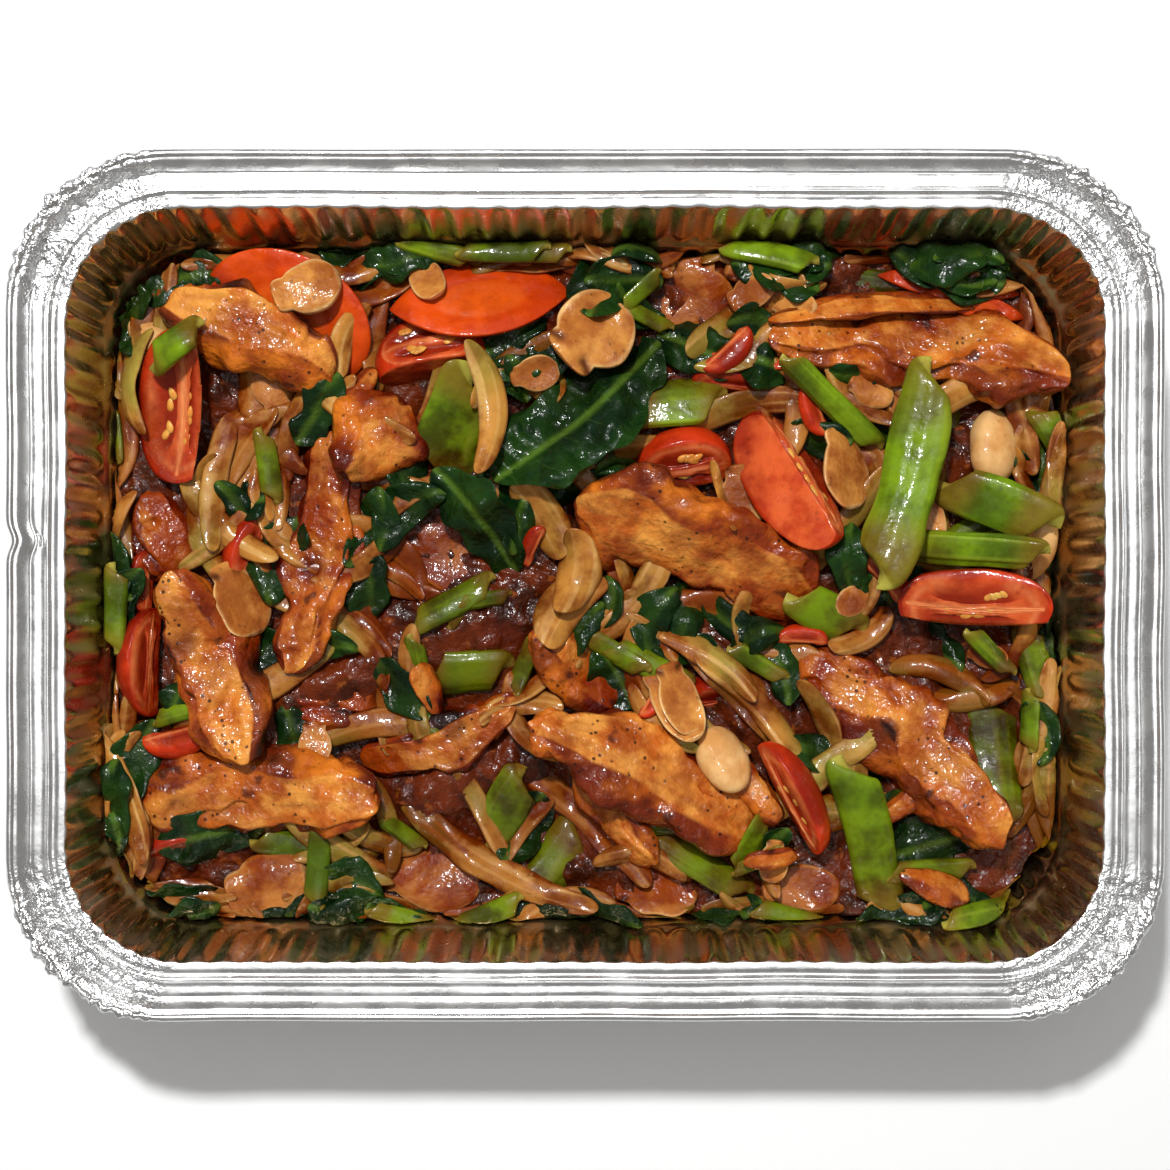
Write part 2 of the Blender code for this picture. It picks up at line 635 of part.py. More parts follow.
def make_bed(ceiling):
    """The heap of small vegetables and sauce under and between the pieces."""
    clear = FLUTE_DEPTH / 2 + GAP
    top_size = np.array(wall_size(GROUND_EDGE - BED_TUCK)) - clear
    foot_size = np.array(wall_size(FOIL)) - clear
    columns = int(2 * top_size[0] / BED_STEP) + 2
    rows = int(2 * top_size[1] / BED_STEP) + 2
    x, y = rounded_grid(columns, rows, top_size)
    room = spread(ceiling, np.minimum, int(BED_STEP / CELL) + 1) - GAP
    i = ((x + LIP_HALF[0]) / CELL).astype(int)
    j = ((y + LIP_HALF[1]) / CELL).astype(int)
    z = np.minimum(mound(x, y, BED_EDGE, BED_MIDDLE), room[i, j])
    numbers = np.arange(x.size).reshape(x.shape)
    quads = np.stack([numbers[:-1, :-1], numbers[1:, :-1], numbers[1:, 1:], numbers[:-1, 1:]], -1)
    rim = np.concatenate([
        numbers[:-1, 0], numbers[-1, :-1], numbers[:0:-1, -1], numbers[0, :0:-1],
    ])
    foot_x, foot_y = rounded_grid(columns, rows, foot_size)
    foot = np.column_stack([foot_x.flat[rim], foot_y.flat[rim], np.full(rim.size, FOIL + GAP)])
    points = np.concatenate([np.column_stack([x.flat, y.flat, z.flat]), foot])
    foot_numbers = x.size + np.arange(rim.size)
    faces = [tuple(quad) for quad in quads.reshape(-1, 4)]
    faces += band(foot_numbers, rim)
    faces.append(tuple(foot_numbers[::-1]))
    return add_solid("bed", points, [tuple(map(int, face)) for face in faces], "sauce")


def main():
    clear_scene()
    make_tray()
    make_bed(settle(PIECES))


main()
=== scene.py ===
# %% [markdown]
# # A foil tray of chicken stir-fry
#
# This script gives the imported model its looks. The model says where every piece lies and how
# big it is. Here each plain piece is measured, and a detailed piece is laid in its place.
# All lengths below are in millimetres, in the frame of the model: +X along the tray, +Z up.

import math

import bpy
import numpy as np
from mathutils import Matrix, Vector
from mathutils.bvhtree import BVHTree


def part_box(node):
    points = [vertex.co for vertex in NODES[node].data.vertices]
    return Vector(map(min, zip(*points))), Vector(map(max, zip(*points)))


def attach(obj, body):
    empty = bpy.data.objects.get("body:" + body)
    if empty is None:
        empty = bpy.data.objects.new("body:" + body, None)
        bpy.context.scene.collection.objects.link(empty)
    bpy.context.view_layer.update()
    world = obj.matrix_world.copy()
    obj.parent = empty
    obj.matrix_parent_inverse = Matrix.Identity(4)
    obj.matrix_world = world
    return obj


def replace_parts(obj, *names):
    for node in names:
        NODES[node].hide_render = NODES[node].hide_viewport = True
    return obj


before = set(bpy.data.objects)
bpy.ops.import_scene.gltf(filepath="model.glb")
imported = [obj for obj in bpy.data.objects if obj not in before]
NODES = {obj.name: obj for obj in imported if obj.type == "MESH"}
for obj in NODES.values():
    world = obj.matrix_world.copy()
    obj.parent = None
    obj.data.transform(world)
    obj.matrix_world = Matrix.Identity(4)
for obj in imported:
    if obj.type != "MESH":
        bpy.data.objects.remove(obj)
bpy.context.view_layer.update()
MM = 0.001
tray_low, tray_high = (np.array(corner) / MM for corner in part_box("tray"))
print(f"{len(NODES)} nodes, tray {np.round(tray_high - tray_low, 1)} mm")

# %% [markdown]
# ## Two helpers for surfaces
#
# Cooked food has no straight line in it, so every surface below gets smooth noise. A sum of
# sine waves in random directions is enough, and numpy works it out for all points at once.
# Most pieces are closed skins: rings of points along the piece, with a pole at each end.

# %% Noise and closed skins


def waves(points, size, seed, count=16):
    """Smooth noise of about -1 to 1: a sum of sines in random directions, of a given size."""
    random = np.random.default_rng(seed)
    points = np.asarray(points, float)
    way = random.normal(size=(count, points.shape[-1]))
    way /= np.linalg.norm(way, axis=1, keepdims=True)
    way *= 2 * math.pi / size * random.uniform(0.55, 1.45, (count, 1))
    phase = random.uniform(0, 2 * math.pi, count)
    return np.sin(points @ way.T + phase).sum(-1) / math.sqrt(count)


def step(values, low, high):
    """A smooth step from 0 at low to 1 at high."""
    share = np.clip((values - low) / (high - low), 0, 1)
    return share * share * (3 - 2 * share)


def skin_faces(rings, around):
    """Quads between neighbouring rings and the fans at the two poles, which come last."""
    k = np.arange(rings * around).reshape(rings, around)
    on = np.roll(k, -1, axis=1)
    quads = np.stack([k[:-1], on[:-1], on[1:], k[1:]], -1).reshape(-1, 4)
    first, last = np.full(around, rings * around), np.full(around, rings * around + 1)
    fans = np.concatenate([
        np.stack([first, on[0], k[0]], -1),
        np.stack([last, k[-1], on[-1]], -1),
    ])
    return quads, fans


def with_poles(rings):
    """The points of the rings as one list, with the middle of the first and last ring added."""
    return np.concatenate([rings.reshape(-1, 3), rings[:1].mean(1), rings[-1:].mean(1)])


def pole_marks(values):
    """Values on rings as one list, with a value for each pole added."""
    return np.concatenate([values.ravel(), [values[0].mean(), values[-1].mean()]])


def add_skins(name, skins, shape, material, marks=None):
    """One mesh object of closed skins that all have the same shape (rings, points a ring).

    skins are lists of points in millimetres, and marks are named values, one per point.
    """
    starts = len(skins[0]) * np.arange(len(skins))[:, None, None]
    quads, fans = skin_faces(*shape)
    faces = (quads + starts).reshape(-1, 4).tolist() + (fans + starts).reshape(-1, 3).tolist()
    mesh = bpy.data.meshes.new(name)
    mesh.from_pydata((np.concatenate(skins) * MM).tolist(), [], faces)
    for label, values in (marks or {}).items():
        layer = mesh.attributes.new(label, "FLOAT", "POINT")
        layer.data.foreach_set("value", np.ascontiguousarray(values, np.float32))
    mesh.shade_smooth()
    mesh.materials.append(material)
    obj = bpy.data.objects.new(name, mesh)
    bpy.context.scene.collection.objects.link(obj)
    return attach(obj, "root")


# %% [markdown]
# ## How each plain piece lies
#
# A piece in the model has a middle, a heading, a gentle bow sideways, and it tilts and bends
# to lie on the pieces below it. Least squares finds those numbers from its corners again, so
# nothing is written down twice and the detailed piece lies exactly where the plain one does.

# %% Measure the plain pieces


class Lie:
    """The place, size and bend of one plain piece, fitted to the corners of its mesh."""

    def __init__(self, node):
        points = np.array([vertex.co for vertex in node.data.vertices]) / MM
        points = np.unique(points.round(2), axis=0)
        flat = points[:, :2]
        middle = (flat.max(0) + flat.min(0)) / 2
        axis = np.linalg.svd(flat - flat.mean(0), full_matrices=False)[2][0]
        self.ahead = axis * (1 if axis[0] > 0 else -1)
        self.aside = np.array([-self.ahead[1], self.ahead[0]])
        u = (flat - middle) @ self.ahead
        self.middle = middle + self.ahead * (u.max() + u.min()) / 2
        self.half_length = (u.max() - u.min()) / 2
        u = (flat - self.middle) @ self.ahead / self.half_length
        v = (flat - self.middle) @ self.aside
        self.bow = np.linalg.lstsq(self.sideways(u), v, rcond=None)[0]
        v = v - self.sideways(u) @ self.bow
        self.half_width = (v.max() - v.min()) / 2
        v = v / self.half_width
        self.rest = np.linalg.lstsq(self.upwards(u, v), points[:, 2], rcond=None)[0]
        off = points[:, 2] - self.upwards(u, v) @ self.rest
        self.thick = off.max() - off.min()

    @staticmethod
    def sideways(u):
        """The terms of the sideways bow: a shift, and a parabola along the piece."""
        return np.stack([np.ones_like(u), u**2], -1)

    @staticmethod
    def upwards(u, v):
        """The terms of the height: a level, two tilts, and a bend along the piece."""
        return np.stack([np.ones_like(u), u, v, u**2], -1)

    def place(self, local):
        """Points (u, v, w), with u from -1 to 1 along and v and w in mm, laid in the tray."""
        u, v, w = local[..., 0], local[..., 1], local[..., 2]
        side = v + self.sideways(u) @ self.bow
        flat = self.middle + (u * self.half_length)[..., None] * self.ahead
        flat = flat + side[..., None] * self.aside
        z = self.upwards(u, v / self.half_width) @ self.rest + w
        return np.concatenate([flat, z[..., None]], -1)


LIES = {name: Lie(node) for name, node in NODES.items() if name not in ("tray", "bed")}
for name in ("chicken_5", "carrot_1", "leaf_5"):
    lie = LIES[name]
    print(name, np.round([2 * lie.half_length, 2 * lie.half_width, lie.thick], 1), "mm")

# %% [markdown]
# Food is soft. Whatever would go through the wall of the tray is pressed flat against its
# inside instead. The wall is a rounded rectangle that widens with the height, with a small
# step halfway up, so its size at any height is a short sum.

# %% The wall of the tray
RIM_WIDTH = 10.4
LIP_RADIUS, BASE_RADIUS, EDGE_RADIUS = 21.0, 15.0, 29.0
LIP_HALF = tray_high[:2] - RIM_WIDTH
TRAY_HEIGHT = tray_high[2]
SHELF_Z = TRAY_HEIGHT - 2.6
WALL_INSET = 10.6
FLOOR_Z, STEP_WIDTH = 0.6, 0.9
# How far food stays inside the mean wall: its flutes, and at the corners its deeper pleats.
CLEAR, CORNER_CLEAR = 0.6, 1.1


def wall_at(z, clear=0.0):
    """Half size and corner radius of the inner wall at a height, drawn in by a distance."""
    share = (z - FLOOR_Z) / (SHELF_Z - FLOOR_Z)
    inset = WALL_INSET * (1 - share) + STEP_WIDTH * (1 - step(z, 23.5, 25.5)) + clear
    return LIP_HALF - np.expand_dims(inset, -1), BASE_RADIUS + (LIP_RADIUS - BASE_RADIUS) * share


def within_wall(points):
    """Moves points that are too near to the wall, or past it, back inwards."""
    half, radius = wall_at(points[:, 2], CLEAR)
    past = np.maximum(np.abs(points[:, :2]) - half + radius[:, None], 0)
    far = np.maximum(np.hypot(*past.T), 1e-9)
    corner = 2 * past.prod(1) / far**2
    back = np.maximum(far - radius + CORNER_CLEAR * corner, 0) / far
    pressed = points.copy()
    pressed[:, :2] -= np.sign(points[:, :2]) * past * back[:, None]
    return pressed


# %% [markdown]
# ## Shared shader effects
#
# Everything in the tray is wet with the same sauce. Three small node groups hold what all the
# foods share: the film of sauce that darkens their colour, and deeper down also stands for
# painted shade, specks of pepper, and the fine relief of the glaze that breaks every highlight
# into sparkles.

# %% Node helpers and groups


def node(tree, kind, place=None, **values):
    """Adds a shader node. Values with a name set its sockets by that name, or its settings."""
    made = tree.nodes.new(kind)
    for key, value in values.items():
        if key in made.bl_rna.properties:
            setattr(made, key, value)
    for key, value in (place or {}).items():
        socket = made.inputs[key]
        if isinstance(value, bpy.types.NodeSocket):
            tree.links.new(value, socket)
        else:
            socket.default_value = value
    return made


def colour(*rgb):
    """A linear colour with full alpha from an everyday 0 to 255 colour."""
    value = np.array(rgb) / 255
    return (*np.where(value < 0.04, value / 12.92, ((value + 0.055) / 1.055) ** 2.4), 1.0)


def mix(tree, factor, first, second, mode="MIX"):
    """Mixes two colours by a factor and gives the result."""
    made = node(tree, "ShaderNodeMix", data_type="RGBA", blend_type=mode)
    for index, value in ((0, factor), (6, first), (7, second)):
        if isinstance(value, bpy.types.NodeSocket):
            tree.links.new(value, made.inputs[index])
        else:
            made.inputs[index].default_value = value
    return made.outputs[2]


def noise(tree, scale, detail=2.0, rough=0.5, where=None):
    """The value of a noise in the object's own coordinates; scale is per metre."""
    where = where or node(tree, "ShaderNodeTexCoord").outputs["Object"]
    sockets = {"Vector": where, "Scale": scale, "Detail": detail, "Roughness": rough}
    return node(tree, "ShaderNodeTexNoise", sockets).outputs["Fac"]


def ramp(tree, value, low, high, start=0.0, end=1.0):
    """A value stretched so that low becomes start and high becomes end, with soft ends."""
    sockets = {"Value": value, "From Min": low, "From Max": high, "To Min": start, "To Max": end}
    return node(tree, "ShaderNodeMapRange", sockets, interpolation_type="SMOOTHSTEP").outputs[0]


def new_group(name, inputs, outputs):
    """An empty node group with named sockets. Gives its tree and its two end nodes."""
    tree = bpy.data.node_groups.new(name, "ShaderNodeTree")
    for label, kind, value in inputs:
        socket = tree.interface.new_socket(label, in_out="INPUT", socket_type=kind)
        socket.default_value = value
    for label, kind in outputs:
        tree.interface.new_socket(label, in_out="OUTPUT", socket_type=kind)
    return tree, tree.nodes.new("NodeGroupInput").outputs, tree.nodes.new("NodeGroupOutput").inputs


def use(tree, group, **sockets):
    """Adds a node group and sets its sockets; an underscore in a name stands for a space."""
    made = node(tree, "ShaderNodeGroup")
    made.node_tree = group
    for label, value in sockets.items():
        socket = made.inputs[label.replace("_", " ")]
        if isinstance(value, bpy.types.NodeSocket):
            tree.links.new(value, socket)
        else:
            socket.default_value = value
    return made.outputs


def sauce_film_and_shade_group():
    """Sauce that clings in patches, and to all that lies deep as sauce and painted shade: a
    multiplied red-brown.
    """
    tree, given, result = new_group(
        "sauce film",
        [("Color", "NodeSocketColor", (0.8, 0.8, 0.8, 1)), ("Amount", "NodeSocketFloat", 0.5),
         ("Patch Scale", "NodeSocketFloat", 120.0)],
        [("Color", "NodeSocketColor"), ("Mask", "NodeSocketFloat")],
    )
    where = node(tree, "ShaderNodeTexCoord").outputs["Object"]
    height = node(tree, "ShaderNodeSeparateXYZ", {"Vector": where}).outputs["Z"]
    # The lower a place, the darker: partly sauce soaked into what lies deep, partly painted shade
    # in the gaps between the pieces.
    deep = ramp(tree, height, 0.0290, 0.0205, 0.0, 1.5)
    patches = ramp(tree, noise(tree, given["Patch Scale"], 4.0, 0.6, where), 0.42, 0.66)
    both = node(tree, "ShaderNodeMath", {0: patches, 1: deep}, operation="ADD").outputs[0]
    amount = node(tree, "ShaderNodeMath", {0: both, 1: given["Amount"]}, operation="MULTIPLY")
    amount.use_clamp = True
    stained = mix(tree, amount.outputs[0], given["Color"], colour(164, 104, 54), "MULTIPLY")
    tree.links.new(stained, result["Color"])
    tree.links.new(amount.outputs[0], result["Mask"])
    return tree


def pepper_group():
    """Ground pepper and browned crumbs: small dark specks at random places."""
    tree, given, result = new_group(
        "pepper specks",
        [("Color", "NodeSocketColor", (0.8, 0.8, 0.8, 1)), ("Amount", "NodeSocketFloat", 0.5)],
        [("Color", "NodeSocketColor")],
    )
    where = node(tree, "ShaderNodeTexCoord").outputs["Object"]
    cells = node(tree, "ShaderNodeTexVoronoi", {"Vector": where, "Scale": 620.0})
    near = ramp(tree, cells.outputs["Distance"], 0.17, 0.27, 1.0, 0.0)
    some = ramp(tree, noise(tree, 190.0, 3.0, 0.6, where), 0.50, 0.60)
    both = node(tree, "ShaderNodeMath", {0: near, 1: some}, operation="MULTIPLY").outputs[0]
    amount = node(tree, "ShaderNodeMath", {0: both, 1: given["Amount"]}, operation="MULTIPLY")
    specked = mix(tree, amount.outputs[0], given["Color"], colour(52, 22, 10))
    tree.links.new(specked, result["Color"])
    return tree


def glaze_group():
    """The skin of oil and sauce: a fine relief for the normal and an uneven roughness."""
    tree, given, result = new_group(
        "wet glaze",
        [("Fine", "NodeSocketFloat", 0.25), ("Broad", "NodeSocketFloat", 0.4),
         ("Roughness", "NodeSocketFloat", 0.25)],
        [("Normal", "NodeSocketVector"), ("Roughness", "NodeSocketFloat")],
    )
    sockets = {"Strength": given["Broad"], "Distance": 0.0012, "Height": noise(tree, 330.0, 3.0)}
    broad = node(tree, "ShaderNodeBump", sockets).outputs["Normal"]
    sockets = {"Strength": given["Fine"], "Distance": 0.0008, "Normal": broad,
               "Height": noise(tree, 700.0, 2.0)}
    fine = node(tree, "ShaderNodeBump", sockets).outputs["Normal"]
    uneven = ramp(tree, noise(tree, 260.0, 3.0), 0.35, 0.7, 0.55, 1.7)
    rough = node(tree, "ShaderNodeMath", {0: uneven, 1: given["Roughness"]}, operation="MULTIPLY")
    tree.links.new(fine, result["Normal"])
    tree.links.new(rough.outputs[0], result["Roughness"])
    return tree


SAUCE_FILM_AND_SHADE = sauce_film_and_shade_group()
PEPPER = pepper_group()
GLAZE = glaze_group()
print("groups:", ", ".join(group.name for group in bpy.data.node_groups))

# %% [markdown]
# ## One material for each food
#
# A food's colour is a mix of two or three tones in patches. The meshes carry values on their
# points, called marks, that say where a cut face, a vein, a charred edge or a pale rim is; on
# the chicken they also hold painted shade in a crease and a painted highlight on its lip.
# Food lets a little light in, so each has some subsurface scattering, and a thin wet coat.

# %% Food materials


def mark(tree, label):
    """The value that a mesh carries on its points under that label."""
    return node(tree, "ShaderNodeAttribute", attribute_name=label).outputs["Fac"]


SHINE = 0.14
COAT_ROUGHNESS = 0.07
GLOW_DEPTH = 0.002
RED_GLOW = (1.0, 0.45, 0.25)


def food(name, make_colour, rough, fine, broad, film_and_painted_light, pepper, glow, coat, glow_colour):
    """A food's material. make_colour(tree) gives the socket with its own, clean colour.

    rough is how dull the shine is, fine and broad are the relief of the glaze. The film and pepper
    amounts say how much sauce and pepper cling to it, and the film also darkens what lies deep as
    painted shade. glow is how much light gets in, coat how much oil.
    """
    material = bpy.data.materials.new(name)
    material.use_nodes = True
    tree = material.node_tree
    shader = tree.nodes["Principled BSDF"]
    # The sauce film over the food's own colour, which low down also darkens it as painted shade.
    base = use(tree, SAUCE_FILM_AND_SHADE, Color=make_colour(tree), Amount=film_and_painted_light)["Color"]
    if pepper:
        base = use(tree, PEPPER, Color=base, Amount=pepper)["Color"]
    glaze = use(tree, GLAZE, Fine=fine, Broad=broad, Roughness=rough)
    tree.links.new(base, shader.inputs["Base Color"])
    tree.links.new(glaze["Normal"], shader.inputs["Normal"])
    tree.links.new(glaze["Roughness"], shader.inputs["Roughness"])
    tree.links.new(glaze["Normal"], shader.inputs["Coat Normal"])
    shader.inputs["Specular IOR Level"].default_value = SHINE
    shader.inputs["Coat Weight"].default_value = coat
    shader.inputs["Coat Roughness"].default_value = COAT_ROUGHNESS
    shader.inputs["Subsurface Weight"].default_value = glow
    shader.inputs["Subsurface Radius"].default_value = glow_colour
    shader.inputs["Subsurface Scale"].default_value = GLOW_DEPTH
    return material


def tones(tree, first, second, scale):
    """Two colours in soft patches."""
    return mix(tree, ramp(tree, noise(tree, scale, 4.0, 0.6), 0.38, 0.62), first, second)


def chicken_colour(tree):
    base = tones(tree, colour(206, 112, 28), colour(146, 56, 16), 110.0)
    base = mix(tree, ramp(tree, noise(tree, 55.0, 3.0), 0.48, 0.60), base, colour(112, 38, 11))
    pale = tones(tree, colour(230, 156, 68), colour(192, 98, 28), 150.0)
    # The paler cut face, and a painted highlight on the lip beside the crease.
    base = mix(tree, ramp(tree, mark(tree, "fibre"), 0.15, 0.9, 0.0, 0.9), base, pale)
    # Browning, which in the crease is painted shade.
    brown = ramp(tree, mark(tree, "char"), 0.15, 0.6, 0.0, 0.8)
    base = mix(tree, brown, base, colour(108, 36, 14))
    spots = ramp(tree, noise(tree, 150.0, 2.0), 0.66, 0.73, 0.0, 0.8)
    base = mix(tree, spots, base, colour(58, 18, 10))
    return mix(tree, ramp(tree, mark(tree, "char"), 0.66, 1.0), base, colour(38, 14, 9))


def tomato_colour(tree):
    skin = tones(tree, colour(204, 56, 16), colour(146, 32, 12), 70.0)
    flesh = tones(tree, colour(212, 92, 42), colour(180, 56, 24), 160.0)
    base = mix(tree, mark(tree, "cut"), skin, flesh)
    base = mix(tree, mark(tree, "jelly"), base, colour(150, 40, 14))
    return mix(tree, mark(tree, "rib"), base, colour(232, 140, 84))


def carrot_colour(tree):
    base = tones(tree, colour(216, 76, 10), colour(192, 58, 10), 110.0)
    return mix(tree, ramp(tree, mark(tree, "core"), 0.0, 1.0, 0.0, 0.6), base, colour(224, 96, 20))


def mushroom_colour(tree):
    base = tones(tree, colour(212, 146, 70), colour(170, 98, 38), 130.0)
    base = mix(tree, mark(tree, "rim"), base, colour(234, 190, 124))
    return mix(tree, mark(tree, "gill"), base, colour(98, 50, 20))


def peanut_colour(tree):
    return tones(tree, colour(224, 178, 116), colour(206, 148, 84), 140.0)


def stalk_colour(tree):
    base = tones(tree, colour(118, 148, 16), colour(80, 106, 16), 60.0)
    base = mix(tree, ramp(tree, mark(tree, "rib"), 0.3, 1.0, 0.0, 0.4), base, colour(156, 180, 46))
    brown = ramp(tree, mark(tree, "end"), 0.35, 1.0, 0.0, 0.85)
    base = mix(tree, brown, base, colour(122, 98, 26))
    return mix(tree, mark(tree, "cut"), base, colour(168, 160, 66))


def leaf_colour(tree):
    base = tones(tree, colour(10, 34, 13), colour(27, 57, 15), 90.0)
    return mix(tree, ramp(tree, mark(tree, "vein"), 0.1, 1.0, 0.0, 0.75), base, colour(84, 116, 36))


def onion_colour(tree):
    base = tones(tree, colour(196, 138, 60), colour(148, 86, 28), 60.0)
    base = mix(tree, ramp(tree, noise(tree, 34.0, 2.0), 0.5, 0.62), base, colour(164, 148, 62))
    lines = ramp(tree, mark(tree, "line"), 0.5, 0.95, 0.0, 0.65)
    base = mix(tree, lines, base, colour(218, 176, 106))
    return mix(tree, ramp(tree, mark(tree, "edge"), 0.2, 1.0, 0.0, 0.6), base, colour(126, 60, 22))


def seed_colour(tree):
    return tones(tree, colour(240, 176, 84), colour(224, 138, 56), 300.0)


def sauce_colour(tree):
    base = tones(tree, colour(112, 46, 16), colour(62, 26, 10), 140.0)
    return mix(tree, ramp(tree, noise(tree, 420.0, 3.0), 0.60, 0.72), base, colour(150, 80, 30))


# kind: (name, colours, rough, fine, broad, sauce film and painted shade, pepper, glow, coat)
FINISHES = {
    "chicken": ("glazed chicken", chicken_colour, 0.32, 0.60, 0.50, 0.65, 0.90, 0.06, 0.38),
    "tomato": ("cooked tomato", tomato_colour, 0.26, 0.12, 0.20, 0.45, 0.25, 0.20, 0.28),
    "carrot": ("cooked carrot", carrot_colour, 0.36, 0.15, 0.20, 0.30, 0.15, 0.15, 0.20),
    "mushroom": ("cooked mushroom", mushroom_colour, 0.36, 0.35, 0.30, 0.50, 0.40, 0.20, 0.25),
    "peanut": ("peanut kernel", peanut_colour, 0.40, 0.12, 0.20, 0.15, 0.15, 0.20, 0.20),
    "stalk": ("green stalk", stalk_colour, 0.34, 0.10, 0.20, 0.45, 0.20, 0.20, 0.20),
    "leaf": ("dark cooked leaf", leaf_colour, 0.30, 0.40, 0.60, 0.30, 0.00, 0.05, 0.18),
    "onion": ("cooked onion", onion_colour, 0.30, 0.12, 0.25, 0.55, 0.15, 0.30, 0.24),
    "seed": ("tomato seed", seed_colour, 0.30, 0.10, 0.20, 0.20, 0.00, 0.30, 0.40),
    "sauce": ("oily sauce", sauce_colour, 0.32, 0.60, 0.50, 0.30, 0.30, 0.10, 0.25),
}
GREEN_GLOWS = {"stalk": (0.6, 1.0, 0.2), "leaf": (0.4, 1.0, 0.2)}
FOODS = {
    kind: food(*finish, GREEN_GLOWS.get(kind, RED_GLOW)) for kind, finish in FINISHES.items()
}
print(len(FOODS), "foods")

# %% [markdown]
# ## Shapes of the foods
#
# Each function below makes one kind of food in its own, straight coordinates: u runs from -1
# to 1 along the piece, v across it and w up, both in millimetres. The rings follow u, so a
# width that depends on u draws the outline, and the angle round a ring draws the section.

# %% Meat, stalks and nuts


def rings_of(stations, around):
    """u bunched towards both ends, and an angle round each ring, as two grids."""
    share = (np.arange(stations) + 0.35) / (stations - 0.3)
    u = -np.cos(math.pi * np.clip(share, 0.004, 0.996))
    angle = 2 * math.pi * np.arange(around) / around
    return np.meshgrid(u, angle, indexing="ij")


def full(values, exponent):
    """A signed power: below 1 it makes a round squarer, above 1 more pointed."""
    return np.sign(values) * np.abs(values) ** exponent


def bump_at(values, middle, width):
    """A smooth bump of height 1 round a value."""
    return np.exp(-(((values - middle) / width) ** 2))


def chicken(lie, seed):
    """A strip of chicken: a browned, torn lump with a flat, paler face where the knife went."""
    random = np.random.default_rng(seed)
    u, angle = rings_of(120, 80)
    along = u * lie.half_length
    ends = (1 - np.abs(u) ** random.uniform(2.2, 3.6)) ** 0.5
    side = 1 + 0.16 * waves(along[..., None], 21, seed) * (1 - np.abs(u) ** 4)
    look = math.radians(random.choice([68, 112]) + random.uniform(-14, 14))
    look = look + 0.16 * waves(along[..., None], 30, seed + 8)
    towards = np.maximum(np.cos(angle - look), 1e-3)
    knife = 0.66 + 0.07 * waves(along[..., None], 24, seed + 9)
    sharp = 9.0
    flat = (1 + (towards / knife) ** sharp) ** (-1 / sharp)
    on_face = step(towards / knife, 0.98, 1.10)
    v = lie.half_width * ends * side * full(np.cos(angle), 0.80) * flat
    w = lie.thick * 0.54 * ends * full(np.sin(angle), 0.80) * flat
    body = np.stack([along, v, w], -1)
    lumps = 0.11 * waves(body, 12, seed + 1) + 0.05 * waves(body, 5, seed + 2)
    lumps = lumps * (1 - 0.6 * on_face)
    grain = waves(body * [0.14, 1, 1], 2.2, seed + 3)
    line = look + random.choice([-1.05, 1.05]) + 0.25 * waves(along[..., None], 28, seed + 4)
    crease = bump_at(angle, line, 0.15) * (1 - u**4)
    lip = bump_at(angle, line + 0.30, 0.15) * (1 - u**4)
    edge = bump_at(towards / knife, 1.03, 0.05) * (1 - u**6)
    tear = step(waves(body, 8, seed + 5), 0.8, 1.5)
    lift = 0.10 * grain - 1.3 * crease + 0.5 * lip + 0.30 * edge - 0.9 * tear
    size = np.maximum(np.hypot(v, w), 0.8)
    scale = 1 + lumps + lift / size * np.minimum(1, size / 3)
    frayed = 0.12 * np.abs(u) ** 5 * waves(body * [0, 1, 1], 3.5, seed + 6) * 4 / lie.half_length
    rings = np.stack([u * (1 + frayed), v * scale, w * scale], -1)
    # Browning in patches, at the ends and along the knife's edge, and painted shade in the crease.
    char = 0.42 * waves(body, 13, seed + 7) + 0.30 * np.abs(u) ** 6 + 0.30 * edge + 0.25 * crease
    char = char + 0.12 - 0.42 * on_face * (1 - edge)
    # The paler cut face, and a painted highlight on the raised lip beside the crease.
    fibre = 0.85 * on_face * (0.85 + 0.12 * grain) + 0.4 * lip
    return rings, {"char": np.clip(char, 0, 1), "fibre": np.clip(fibre, 0, 1)}


def stalk(lie, seed):
    """A cut green stalk: ribs along its back, a hollowed underside and blunt, paler ends."""
    u, angle = rings_of(80, 60)
    along = u * lie.half_length
    ends = (1 - np.abs(u) ** 16) ** 0.4
    width = lie.half_width * (1 + 0.05 * waves(along[..., None], 26, seed))
    ribs = waves(np.stack([along * 0.04, 5 * np.cos(angle), 5 * np.sin(angle)], -1), 2.6, seed + 2)
    v = width * ends * full(np.cos(angle), 0.85)
    w = lie.thick * 0.48 * ends * full(np.sin(angle), 0.8)
    w = w * (1 - 0.35 * bump_at(angle, 1.5 * math.pi, 0.6))
    body = np.stack([along, v, w], -1)
    size = np.maximum(np.hypot(v, w), 0.8)
    scale = 1 + 0.10 * ribs / size + 0.045 * waves(body, 11, seed + 1)
    slant = 0.6 * lie.half_width / lie.half_length * np.cos(angle) * np.abs(u) ** 3
    rings = np.stack([u + slant, v * scale, w * scale], -1)
    rib = np.clip(0.6 * ribs, 0, 1) * (1 - np.abs(u) ** 8)
    end = np.abs(u + 0.25 * waves(along[..., None], 30, seed + 3))
    return rings, {"rib": rib, "cut": step(np.abs(u), 0.965, 0.99), "end": end}


def peanut(lie, seed):
    """A peanut kernel: a blunt egg with a shallow seam and a small pointed germ end."""
    u, angle = rings_of(44, 44)
    ends = (1 - u**2) ** 0.5 * (1 + 0.10 * u**2)
    seam = 1 - 0.07 * bump_at(angle, 0.5 * math.pi, 0.14) * (1 - u**2)
    body = np.stack([u * lie.half_length, np.cos(angle) * 5, np.sin(angle) * 5], -1)
    seam = seam * (1 + 0.03 * waves(body, 6, seed))
    rings = np.stack([
        u,
        lie.half_width * ends * np.cos(angle) * seam,
        lie.thick * 0.5 * ends * np.sin(angle) * seam,
    ], -1)
    return rings, {}


